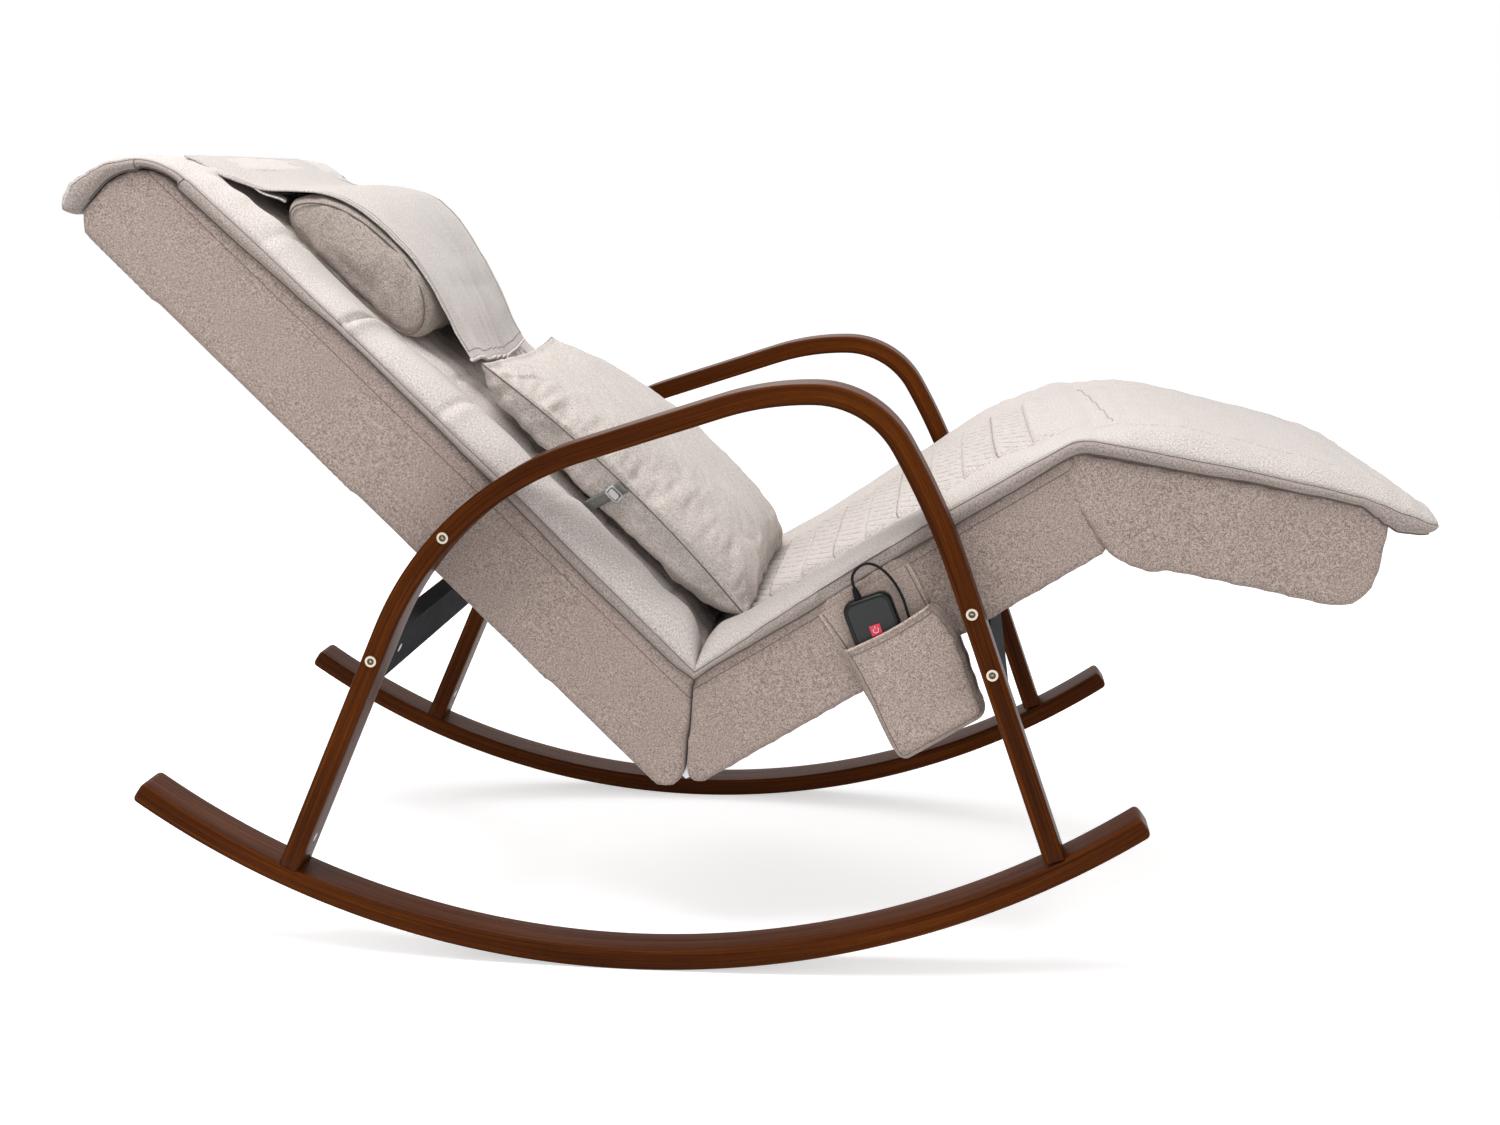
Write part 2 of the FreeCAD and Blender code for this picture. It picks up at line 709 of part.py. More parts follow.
def cross_board(label, frame, x, foot, height, thickness="board_thickness"):
    """A board across the box between its side boards."""
    inner = board_outer - getattr(dim, thickness)
    keep(box(label, pose(frame, x=x, y=-inner, z=foot), thickness,
             "body_width - 2 * cover_wall - 2 * %s" % thickness, height), label)


def webbing(label, frame, first, pitch, count, z):
    """Elastic bands stretched over the side boards."""
    bands = []
    for i in range(count):
        bands.append(box("%s_%d" % (label, i), pose(frame, x=first + pitch * i, y=-board_outer, z=z),
                         "webbing_width", "body_width - 2 * cover_wall", "webbing_thickness"))
    keep(group(label, bands), label)


back_webbing_top = -dim.surface_drop - dim.cover_wall - dim.back_foam_thickness
seat_webbing_top = -dim.surface_drop - dim.cover_wall - dim.seat_foam_thickness
back_board_top = back_webbing_top - dim.webbing_thickness
seat_board_top = seat_webbing_top - dim.webbing_thickness
back_foot = -dim.back_depth + dim.cover_wall
seat_foot = -dim.seat_depth + dim.cover_wall
leg_foot = -dim.leg_depth + dim.cover_wall
back_head = -(dim.back_length - dim.back_heel_round)
seat_nose = dim.seat_front_foot - dim.end_margin
handset_frame = Placement(Vector(dim.contact_x + dim.handset_x, 0, dim.handset_z),
                          Rotation(ACROSS, -dim.handset_angle))

# Where the cord leaves the pocket, through the seat's side
gland = handset_frame.multVec(Vector(dim.gland_across, 0, -dim.gland_drop))


def bracket_slot(name, frame, side, sense):
    """Slot in a cover where a crease bracket passes from one box to the other."""
    y = side_y(side, board_inner - dim.bracket_thickness / 2)
    x = -dim.bracket_width if sense < 0 else -2 * dim.bracket_drop
    return box(name, pose(frame, x=x, y=y - dim.bracket_thickness / 2 - dim.soft_gap,
                          z=-dim.bracket_drop - dim.bracket_width - dim.soft_gap),
               "bracket_width + 2 * bracket_drop", "bracket_thickness + 2 * soft_gap",
               "bracket_width + 2 * soft_gap")


def bracket_spots(frame, side, sense):
    """Places of a bracket arm's two bolts, on its face, with z out to the side board."""
    spots = []
    for i in range(2):
        x = sense * (dim.bracket_arm - dim.bracket_width / 2 - i * dim.bracket_bolt_pitch)
        spots.append(pose(frame, x=x, y=side_y(side, board_inner - dim.bracket_thickness),
                          z=-dim.bracket_drop - dim.bracket_width / 2, turn=outward(side)))
    return spots


def board_drill(frame, bolt_spot, sense):
    """Holes of a side board for its hoop bolt's insert and its bracket bolts."""
    def drill(label, side):
        tools = [through_hole(label + "_hole", bolt_spot, side, "insert_diameter / 2 + thread_clearance")]
        for i, spot in enumerate(bracket_spots(frame, side, sense)):
            tools.append(rod("%s_bracket_hole_%d" % (label, i), spot,
                             "bolt_diameter / 2 + thread_clearance",
                             "bracket_thickness + bracket_bolt_bite"))
        return tools
    return drill


def make_back():
    """Timber, webbing, foam and cover of the back."""
    height = "back_depth - surface_drop - 2 * cover_wall - back_foam_thickness - webbing_thickness"
    side_boards("back", back, back_head, "back_length - back_heel_round + crease_gap", back_foot, height,
                "board_thickness", board_drill(back, back_bolt_spot, -1))
    cross_board("back_top_rail", back, back_head, back_foot, height)
    low = -dim.crease_rail_setback
    cross_board("back_bottom_rail", back, low - dim.board_thickness, back_foot, height)
    count = int((low - back_head) // dim.back_webbing_pitch)
    webbing("back_webbing", back, low - dim.back_webbing_pitch * count, dim.back_webbing_pitch, count,
            back_board_top)
    foam_start = dim.back_crown_round - dim.back_length
    keep(box("back_foam", pose(back, x=foam_start, y=-board_outer, z=back_webbing_top),
             "back_length - back_crown_round", "body_width - 2 * cover_wall", "back_foam_thickness"),
         "back_foam")
    holes = []
    for name, side in SIDES.items():
        holes.append(through_hole("back_cover_hole_%s" % name, back_bolt_spot, side,
                                  "bolt_diameter / 2 + bolt_clearance"))
        holes.append(bracket_slot("back_slot_%s" % name, back, side, -1))
    make_cover("back_cover", back, back_outline, holes)


def lead_drill(name, length):
    """Round tool through the seat's right side where the handset's cord goes in."""
    mouth = gland - ACROSS * (body_half + dim.cut_overrun)
    return rod(name, Placement(mouth, outward(1)), "lead_hole / 2", length)


def make_seat():
    """Timber, webbing, foam and cover of the seat."""
    height = "seat_depth - surface_drop - 2 * cover_wall - seat_foam_thickness - webbing_thickness"
    plain_drill = board_drill(seat, seat_bolt_spot, 1)

    def drill(label, side):
        tools = plain_drill(label, side)
        if side == SIDES["right"]:
            tools.append(lead_drill("lead_hole_board", "cover_wall + board_thickness + 2 * cut_overrun"))
        return tools

    side_boards("seat", seat, 0, "seat_front_foot - end_margin", seat_foot, height, "board_thickness",
                drill)
    cross_board("seat_front_rail", seat, seat_nose - dim.board_thickness, seat_foot,
                "seat_depth - cover_wall - seat_rail_top")
    cross_board("seat_rear_rail", seat, dim.crease_rail_setback, seat_foot, height)
    count = int((seat_nose - dim.crease_rail_setback) // dim.seat_webbing_pitch)
    webbing("seat_webbing", seat, dim.crease_rail_setback, dim.seat_webbing_pitch, count, seat_board_top)
    keep(box("seat_foam", pose(seat, y=-board_outer, z=seat_webbing_top),
             "seat_front_foot - end_margin - board_thickness - cut_overrun",
             "body_width - 2 * cover_wall", "seat_foam_thickness"), "seat_foam")
    holes = [lead_drill("lead_hole_cover", "cover_wall + 2 * cut_overrun")]
    mouth = pose(seat, x=dim.inlet_along, y=inlet_y, z=-dim.seat_depth - dim.cut_overrun)
    holes.append(rod("inlet_hole_cover", mouth, "inlet_diameter / 2 + bolt_clearance",
                     "cover_wall + 2 * cut_overrun"))
    for name, side in SIDES.items():
        holes.append(through_hole("seat_cover_hole_%s" % name, seat_bolt_spot, side,
                                  "bolt_diameter / 2 + bolt_clearance"))
        holes.append(hinge_slot("seat_slot_%s" % name, seat, dim.knee_along - dim.hinge_leaf_reach, side))
        holes.append(bracket_slot("seat_crease_slot_%s" % name, seat, side, 1))
    make_cover("seat_cover", seat, seat_outline, holes)


def hinge_slot(name, frame, x, side):
    """Slot through a cover's end for a hinge leaf."""
    y = side_y(side, dim.hinge_offset) - 3 * dim.hinge_knuckle / 2 - dim.soft_gap
    return box(name, pose(frame, x=x, y=y, z=-dim.seat_rail_top - dim.soft_gap),
               "2 * hinge_leaf_reach", "3 * hinge_knuckle + 2 * soft_gap",
               "2 * hinge_plate + 2 * soft_gap")


def make_leg_rest():
    """Panel, boards, foam and cover of the leg rest, and the gusset of cloth under the knee."""
    panel_top = -dim.surface_drop - dim.cover_wall - dim.leg_foam_thickness
    panel_foot = panel_top - dim.leg_panel_thickness
    start = dim.slab_start + dim.cover_wall
    keep(box("leg_panel", pose(leg, x=start, y=-board_outer, z=panel_foot),
             "leg_length - leg_end_round - slab_start - cover_wall", "body_width - 2 * cover_wall",
             "leg_panel_thickness"), "leg_panel")
    keep(box("leg_foam", pose(leg, x=start + dim.seam_round, y=-board_outer, z=panel_top),
             "leg_length - leg_end_round - slab_start - cover_wall - seam_round",
             "body_width - 2 * cover_wall", "leg_foam_thickness"), "leg_foam")
    well = dim.leg_well_start + dim.end_margin
    height = ("leg_depth - surface_drop - 2 * cover_wall - leg_foam_thickness - leg_panel_thickness")
    side_boards("leg", leg, well, "leg_length - leg_end_round - leg_well_start - end_margin", leg_foot,
                height, "leg_board_thickness", lambda label, side: [])
    end = dim.leg_length - dim.leg_end_round - dim.leg_board_thickness
    cross_board("leg_end_rail", leg, end, leg_foot, height, "leg_board_thickness")
    holes = [hinge_slot("leg_slot_%s" % name, leg, -dim.hinge_leaf_reach, side)
             for name, side in SIDES.items()]
    make_cover("leg_cover", leg, leg_outline, holes)
    span = dim.leg_well_start + dim.hinge_barrel_diameter
    corners = [(share_x * span - dim.hinge_barrel_diameter, -share_z * dim.leg_depth, 0)
               for share_x, share_z in gusset_shares]
    skin = outline(corners)
    inner = skin.makeOffset2D(-dim.cover_wall)
    gusset = prism(skin, board_outer).cut(prism(inner, body_half))
    seat_block = prism(seat_outline(dim.soft_gap), body_half)
    seat_block.Placement = leg.inverse().multiply(seat)
    blocks = [seat_block, prism(leg_outline(dim.soft_gap), body_half)]
    size = dim.hinge_barrel_diameter
    for side in SIDES.values():
        corner = Vector(-2 * size, side_y(side, dim.hinge_offset) - 2 * dim.hinge_knuckle,
                        -dim.pin_drop - 2 * size)
        blocks.append(Part.makeBox(4 * size, 4 * dim.hinge_knuckle, 3 * size, corner))
    keep(solid("knee_gusset", gusset.cut(blocks), leg), "knee_gusset")


def make_brackets():
    """Steel knees that hold back and seat at their angle, and the bolts that fix them."""
    brackets, bolts = [], []
    for side_name, side in SIDES.items():
        y = side_y(side, board_inner - dim.bracket_thickness / 2)
        middle = solid("bracket_elbow_%s" % side_name, prism(elbow_outline(), dim.bracket_thickness / 2, y))
        arms, tools = [middle], []
        for arm, frame, sense in (("back", back, -1), ("seat", seat, 1)):
            x = -dim.bracket_arm if sense < 0 else 0
            arms.append(box("bracket_%s_%s" % (arm, side_name),
                            pose(frame, x=x, y=y - dim.bracket_thickness / 2,
                                 z=-dim.bracket_drop - dim.bracket_width),
                            "bracket_arm", "bracket_thickness", "bracket_width"))
            for i, spot in enumerate(bracket_spots(frame, side, sense)):
                name = "%s_%s_%d" % (arm, side_name, i)
                tools.append(rod("bracket_hole_" + name, pose(spot, z=-dim.cut_overrun),
                                 "bolt_diameter / 2 + bolt_clearance", "board_thickness"))
                bolts.append(bolt("bracket_bolt_" + name, spot, "bracket_thickness + bracket_bolt_bite"))
        brackets.append(cut("bracket_%s" % side_name, join("bracket_blank_%s" % side_name, arms), tools))
    keep(group("crease_brackets", brackets), "crease_brackets")
    keep(group("crease_bracket_bolts", bolts), "crease_bracket_bolts")


def elbow_outline():
    """Plate that fills the corner between the two arms of a crease bracket."""
    top = -dim.bracket_drop
    foot = top - dim.bracket_width
    spots = [back.multVec(Vector(0, 0, top)), back.multVec(Vector(0, 0, foot)),
             back.multVec(Vector(-foot * crease_slope, 0, foot)), seat.multVec(Vector(0, 0, foot)),
             seat.multVec(Vector(0, 0, top)), back.multVec(Vector(-top * crease_slope, 0, top))]
    return Part.makePolygon(spots + spots[:1])


def make_hinges():
    """Two knee hinges: leaves on the seat's front rail and the leg panel, on one axis."""
    seat_leaves, leg_leaves, pins = [], [], []
    on_seat = Placement(knee, seat.Rotation)
    on_leg = Placement(knee, leg.Rotation)
    third = dim.hinge_knuckle
    gap = dim.hinge_knuckle_gap
    reach = dim.hinge_leaf_reach
    for side_name, side in SIDES.items():
        start = side_y(side, dim.hinge_offset) - 1.5 * third
        drop = dim.seat_rail_top - dim.knee_drop
        parts = [box("seat_tie_%s" % side_name, pose(on_seat, x=-reach, y=start, z=-drop),
                     "hinge_leaf_reach - hinge_barrel_diameter", "3 * hinge_knuckle", "hinge_plate")]
        for i in range(2):
            name = "%s_%d" % (side_name, i)
            y = start + 2 * i * third
            parts.append(box("seat_leaf_" + name, pose(on_seat, x=-reach, y=y, z=-drop),
                             "hinge_leaf_reach", "hinge_knuckle", "hinge_plate"))
            parts.append(rod("seat_knuckle_" + name, pose(on_seat, y=y, turn=outward(1)),
                             "hinge_barrel_diameter / 2", "hinge_knuckle"))
        bore = rod("seat_bore_%s" % side_name, pose(on_seat, y=start - dim.cut_overrun, turn=outward(1)),
                   "hinge_pin_diameter / 2", "3 * hinge_knuckle + 2 * cut_overrun")
        blank = join("seat_leaf_blank_%s" % side_name, parts)
        seat_leaves.append(cut("seat_leaf_%s" % side_name, blank, [bore]))
        drop = dim.slab_drop - dim.cover_wall - dim.pin_drop
        parts = [
            box("leg_plate_%s" % side_name, pose(on_leg, x=dim.hinge_barrel_diameter, y=start, z=-drop),
                "hinge_leaf_reach", "3 * hinge_knuckle", "hinge_plate"),
            box("leg_neck_%s" % side_name, pose(on_leg, y=start + third + gap, z=-drop),
                "2 * hinge_barrel_diameter", "hinge_knuckle - 2 * hinge_knuckle_gap", "hinge_plate"),
            rod("leg_knuckle_%s" % side_name, pose(on_leg, y=start + third + gap, turn=outward(1)),
                "hinge_barrel_diameter / 2", "hinge_knuckle - 2 * hinge_knuckle_gap"),
        ]
        bore = rod("leg_bore_%s" % side_name, pose(on_leg, y=start, turn=outward(1)),
                   "hinge_pin_diameter / 2 + thread_clearance", "3 * hinge_knuckle")
        blank = join("leg_leaf_blank_%s" % side_name, parts)
        leg_leaves.append(cut("leg_leaf_%s" % side_name, blank, [bore]))
        pins.append(rod("pin_%s" % side_name, pose(on_seat, y=start, turn=outward(1)),
                        "hinge_pin_diameter / 2", "3 * hinge_knuckle"))
    keep(group("knee_hinge_seat_leaves", seat_leaves), "knee_hinge_seat_leaves")
    keep(group("knee_hinge_leg_leaves", leg_leaves), "knee_hinge_leg_leaves")
    keep(group("knee_hinge_pins", pins), "knee_hinge_pins")


def make_massage():
    """Vibration motors, the control box with its inner lead, and the low-voltage inlet."""
    motors = []
    rows = {"shoulder": dim.shoulder_motor_up, "back": dim.back_motor_up, "loin": dim.loin_motor_up}
    for name, up in rows.items():
        for side_name, side in SIDES.items():
            place = pose(back, x=-up, y=side_y(side, dim.motor_offset), z=back_board_top - dim.motor_height)
            motors.append(rod("motor_%s_%s" % (name, side_name), place, "motor_diameter / 2",
                              "motor_height"))
    keep(group("massage_motors", motors), "massage_motors")
    case = box("control_case", pose(seat, x=dim.control_along, y=-board_inner, z=seat_foot),
               "control_length", "control_width", "control_height")
    mouth = pose(seat, x=dim.inlet_along, y=inlet_y, z=-dim.seat_depth)
    socket = rod("control_socket", mouth, "inlet_diameter / 2 + thread_clearance",
                 "inlet_length + soft_gap")
    keep(cut("control_box", case, [socket]), "control_box")
    barrel = rod("inlet_barrel", mouth, "inlet_diameter / 2", "inlet_length")
    face = pose(mouth, z=-dim.inlet_flange_height)
    flange = rod("inlet_flange_disc", face, "inlet_flange / 2", "inlet_flange_height")
    bore = rod("inlet_bore_cut", face, "inlet_bore / 2", "inlet_bore_depth")
    keep(cut("power_inlet", join("power_inlet_blank", [barrel, flange]), [bore]), "power_inlet")


# Soft pieces

def pad_section(x, z, lean, roll, plain, stretch=1.0, count=1):
    """Crowned section of the pad as a closed wire, on a plane across X at a lean in XZ.

    The plain between the border rolls is one soft crown, or as many channels as the count.
    """
    half = pad_half
    inner = half - dim.pad_roll_width
    peak = half - dim.pad_roll_width / 2
    band = dim.pad_band
    place = Placement(Vector(x, 0, z), Rotation(ACROSS, lean))

    def spot(y, up):
        return place.multVec(Vector(0, y, up * stretch))

    full = dim.pad_roll_width * roll_full_share
    high = band + roll * roll_rise_share
    edges = [
        Part.LineSegment(spot(-half, -dim.cover_wall), spot(-half, band)).toShape(),
        Part.Arc(spot(-half, band), spot(full - half, high), spot(-peak, band + roll)).toShape(),
        Part.LineSegment(spot(-peak, band + roll), spot(-inner, band + plain)).toShape(),
    ]
    width = 2 * inner / count
    for i in range(count):
        left = -inner + i * width
        over = spot(left + width / 2, band + plain + dim.channel_depth)
        edges.append(Part.Arc(spot(left, band + plain), over, spot(left + width, band + plain)).toShape())
    edges += [
        Part.LineSegment(spot(inner, band + plain), spot(peak, band + roll)).toShape(),
        Part.Arc(spot(peak, band + roll), spot(half - full, high), spot(half, band)).toShape(),
        Part.LineSegment(spot(half, band), spot(half, -dim.cover_wall)).toShape(),
        Part.LineSegment(spot(half, -dim.cover_wall), spot(-half, -dim.cover_wall)).toShape(),
    ]
    return Part.Wire(edges)


def loft(sections, ruled=False):
    """Solid through closed wires."""
    return Part.makeLoft(sections, True, ruled)


def grooves(stations, first, last, pitch, frame):
    """Round tools for the sewn channels across a pad; stations give its height along X."""
    inner = pad_half - dim.pad_roll_width
    tools = []
    for i in range(int((last - first) // pitch) + 1):
        x = first + i * pitch
        for (low_x, low), (high_x, high) in zip(stations, stations[1:]):
            if low_x <= x <= high_x:
                height = low + (high - low) * (x - low_x) / (high_x - low_x)
        centre = Vector(x, -inner, height + dim.groove_radius - dim.channel_depth / 2)
        tool = Part.makeCylinder(dim.groove_radius, 2 * inner, centre, ACROSS)
        tool.Placement = frame.multiply(tool.Placement)
        tools.append(tool)
    return tools


def make_pads():
    """The quilted overlay: one piece over back and seat with a hood, one over the leg rest."""
    base = -dim.surface_drop
    lift = dim.surface_drop - dim.pad_band
    roll = dim.pad_roll + lift
    plain = dim.pad_plain + lift
    seat_plain = dim.pad_seat_plain + lift
    knee_plain = dim.pad_knee_plain + lift
    crease_plain = dim.pad_crease_plain + lift
    hood = dim.pad_hood_thickness - dim.pad_band
    turn_x = dim.back_crown_round - dim.back_length
    turn_z = base - dim.back_crown_round
    sections = [pad_section(-dim.back_length, -dim.pad_hood_hem, -SQUARE, hood / 2, hood / 2),
                pad_section(-dim.back_length, turn_z, -SQUARE, hood, hood)]
    for share in crown_turn_shares:
        lean = SQUARE * (1 - share)
        spot = Vector(turn_x, 0, turn_z) + heading_of(SQUARE + lean) * dim.back_crown_round
        sections.append(pad_section(spot.x, spot.z, -lean, hood + (roll - hood) * share,
                                    hood + (plain - hood) * share))
    hood_count = len(sections)
    for share in pad_back_up_shares:
        sections.append(pad_section(turn_x * share, base, 0, roll, plain))
    slope = 1 / math.sin(math.radians(crease_half))
    lean = SQUARE - crease_half
    sections.append(pad_section(-base * crease_slope, base, -lean, roll, crease_plain, slope))
    hood_shape = loft(sections[:hood_count], True)
    back_shape = hood_shape.fuse(loft(sections[hood_count - 1:], True))
    back_shape.Placement = back
    sections = [pad_section(base * crease_slope, base, lean, roll, crease_plain, slope)]
    for share in pad_seat_along_shares:
        sections.append(pad_section(dim.knee_along * share, base, 0, roll, seat_plain))
    knee_x, knee_z, knee_lean = knee_plane(seat, -1)
    sections.append(pad_section(knee_x, knee_z, knee_lean, roll, knee_plain))
    seat_shape = loft(sections, True)
    seat_shape.Placement = seat
    blocks = [prism(shape_of(dim.soft_gap), 2 * pad_half) for shape_of in (back_outline, seat_outline)]
    blocks[0].Placement = back
    blocks[1].Placement = seat
    blocks += grooves(((turn_x, dim.pad_plain), (0, dim.pad_plain)), turn_x + dim.channel_pitch,
                      turn_x * pad_back_up_shares[-1], dim.channel_pitch, back)
    heights = ((0, dim.pad_crease_plain),
               (dim.knee_along * pad_seat_along_shares[0], dim.pad_seat_plain),
               (dim.knee_along * pad_seat_along_shares[-1], dim.pad_seat_plain),
               (knee_x, dim.pad_knee_plain))
    blocks += grooves(heights, dim.seat_block_pitch, knee_x - dim.seat_block_pitch / 2,
                      dim.seat_block_pitch, seat)
    pad = back_shape.fuse(seat_shape).removeSplitter().cut(blocks)
    keep(solid("body_pad", largest(pad)), "body_pad")
    end = dim.pad_leg_length
    leg_x, leg_z, leg_lean = knee_plane(leg, 1)
    count = int(dim.leg_channels)
    sections = [pad_section(leg_x, leg_z, leg_lean, roll, knee_plain, count=count)]
    for share in pad_leg_along_shares:
        sections.append(pad_section(end * share, base, 0, roll, seat_plain, count=count))
    sections.append(pad_section(dim.leg_length, base, 0, hood, hood, count=count))
    sections.append(pad_section(end, base - dim.pad_tip_droop, 0, hood / 2, hood / 2, count=count))
    leg_shape = loft(sections, True).cut(prism(leg_outline(dim.soft_gap), 2 * pad_half))
    keep(solid("leg_pad", largest(leg_shape), leg), "leg_pad")


def largest(shape):
    """The biggest solid of a shape."""
    return max(shape.Solids, key=lambda piece: piece.Volume)


def knee_plane(frame, sense):
    """Where a pad's section over the knee pin stands in its own frame, as x, z and lean."""
    lean = -sense * (dim.seat_angle + dim.leg_angle) / 2
    middle = Placement(knee, Rotation(ACROSS, (dim.leg_angle - dim.seat_angle) / 2))
    spot = middle.multVec(Vector(sense * dim.knee_gap / 2, 0, dim.pin_drop - dim.surface_drop))
    local = frame.inverse().multVec(spot)
    return local.x, local.z, lean


def make_pillows():
    """Head pillow with its flap, and lumbar pillow with strap and buckle."""
    top = dim.pad_plain + dim.channel_depth + dim.soft_gap
    half = dim.pillow_width / 2

    def pillow_wire(y, share):
        points = []
        for along, height in pillow_outline_shares:
            x = -dim.pillow_foot_up - dim.pillow_length * (half_way + (along - half_way) * share)
            points.append(Vector(x, y, top + dim.pillow_height * height * share))
        edges = [Part.LineSegment(points[0], points[1]).toShape(),
                 Part.Arc(points[1], points[2], points[3]).toShape(),
                 Part.LineSegment(points[3], points[4]).toShape(),
                 Part.LineSegment(points[4], points[0]).toShape()]
        return Part.Wire(edges)

    pillow = loft([pillow_wire(half * place, share) for place, share in pillow_station_shares])
    keep(solid("head_pillow", pillow, back), "head_pillow")
    lift = top + dim.flap_clearance + dim.flap_thickness / 2
    crown_x = -dim.pillow_foot_up - dim.pillow_length
    spots = [Vector(crown_x - dim.flap_top_run, 0, lift - dim.flap_dip),
             Vector(crown_x - dim.flap_top_run / 2, 0, lift),
             Vector(crown_x - dim.flap_clearance * 2, 0, lift + dim.pillow_height * flap_step_share)]
    for along, height in flap_outline_shares:
        x = -dim.pillow_foot_up - dim.pillow_length * along
        spots.append(Vector(x + (dim.flap_clearance if along < half_way else -dim.flap_clearance), 0,
                            top + dim.pillow_height * height + dim.flap_clearance))
    spots.append(Vector(-dim.pillow_foot_up + dim.flap_tail, 0, top + dim.pillow_height * flap_tail_share))
    upper = Part.BSplineCurve()
    upper.interpolate(spots)
    curve = upper.toShape()
    lower = curve.copy()
    lower.translate(Vector(0, 0, -dim.flap_thickness))
    caps = [Part.LineSegment(curve.Vertexes[i].Point, lower.Vertexes[i].Point).toShape() for i in (0, -1)]
    wire = Part.Wire(Part.__sortEdges__([curve, lower] + caps))
    keep(solid("head_flap", prism(wire, dim.flap_width / 2), back), "head_flap")

    pad_top = dim.pad_plain + dim.channel_depth + dim.soft_gap
    sag = dim.lumbar_middle - pad_top
    start_x = -dim.lumbar_foot_up
    end_x = start_x - dim.lumbar_length
    middle_x = (start_x + end_x) / 2
    wires = []
    for place, full in lumbar_fullness_shares:
        y = dim.lumbar_width * place
        draw = (1 - full) * dim.lumbar_seam
        low = Vector(start_x - draw, y, dim.lumbar_middle)
        high = Vector(end_x + draw, y, dim.lumbar_middle)
        over = Vector(middle_x, y, dim.lumbar_middle + dim.lumbar_swell * full)
        under = Vector(middle_x, y, dim.lumbar_middle - sag * full)
        wires.append(Part.Wire([Part.Arc(low, over, high).toShape(),
                                Part.Arc(high, under, low).toShape()]))
    keep(solid("lumbar_pillow", loft(wires), back), "lumbar_pillow")
    straps, buckles = [], []
    strap_reach = dim.lumbar_width / 2 + dim.soft_gap
    inner = pad_half - dim.pad_roll_width
    slope = 2 * (dim.pad_roll - dim.pad_plain) / dim.pad_roll_width
    foot = dim.pad_plain + slope * (strap_reach + dim.strap_thickness - inner) + dim.soft_gap
    for side_name, side in SIDES.items():
        y = strap_reach if side > 0 else -strap_reach - dim.strap_thickness
        x = -dim.strap_up - dim.strap_width
        band = Part.makeBox(dim.strap_width, dim.strap_thickness, dim.lumbar_middle + dim.soft_gap - foot,
                            Vector(x, y, foot))
        straps.append(solid("strap_%s" % side_name, band, back))
        y = y + dim.strap_thickness if side > 0 else y - dim.buckle_thickness
        x -= (dim.buckle_width - dim.strap_width) / 2
        place = pose(back, x=x, y=y, z=dim.lumbar_middle - dim.buckle_width)
        buckles.append(box("buckle_%s" % side_name, place, "buckle_width", "buckle_thickness",
                           "buckle_length"))
    keep(group("lumbar_strap", straps), "lumbar_strap")
    keep(group("strap_buckle", buckles), "strap_buckle")


def pocket_outline(inset=0, rise=0):
    """Side view of the hanging pocket in the seat's frame."""
    mouth = -dim.pocket_mouth_drop + rise
    foot = -dim.pocket_foot_drop + inset
    left = dim.pocket_left + inset
    foot_left = dim.pocket_left - dim.pocket_foot_shift + inset
    return outline([
        (left + dim.pocket_mouth_width - 2 * inset, mouth, 0),
        (foot_left + dim.pocket_foot_width - 2 * inset, foot, dim.pocket_corner),
        (foot_left, foot, dim.pocket_corner),
        (left, mouth, 0),
    ])


def make_pocket():
    """Pocket on the right of the seat: a backing panel and a pouch sewn to it, open at the top."""
    gap = dim.soft_gap
    rise = dim.pocket_mouth_drop - dim.surface_drop - dim.cover_wall
    panel = prism(pocket_outline(0, rise), dim.pocket_panel / 2, -(body_half + gap + dim.pocket_panel / 2))
    mouth = gland - ACROSS * (body_half + dim.cut_overrun)
    tool = Part.makeCylinder(dim.lead_hole / 2, 2 * dim.cut_overrun, mouth, ACROSS)
    tool.Placement = seat.inverse().multiply(tool.Placement)
    keep(solid("pocket_back_panel", panel.cut(tool), seat), "pocket_back_panel")
    start = body_half + gap + dim.pocket_panel
    half = dim.pocket_swell / 2
    outer = prism(pocket_outline(), half, -(start + half))
    hollow = pocket_outline(dim.pocket_wall, dim.cut_overrun)
    inner = prism(hollow, half, -(start + half - dim.pocket_wall))
    keep(solid("pocket_pouch", outer.cut(inner), seat), "pocket_pouch")


def handset_outline(inset=0):
    """Front view of the handset in its own frame, from its top edge down."""
    half = dim.handset_width / 2 - inset
    size = dim.handset_corner - inset
    return outline([(half, -inset, size), (half, -dim.handset_length + inset, size),
                    (-half, -dim.handset_length + inset, size), (-half, -inset, size)])


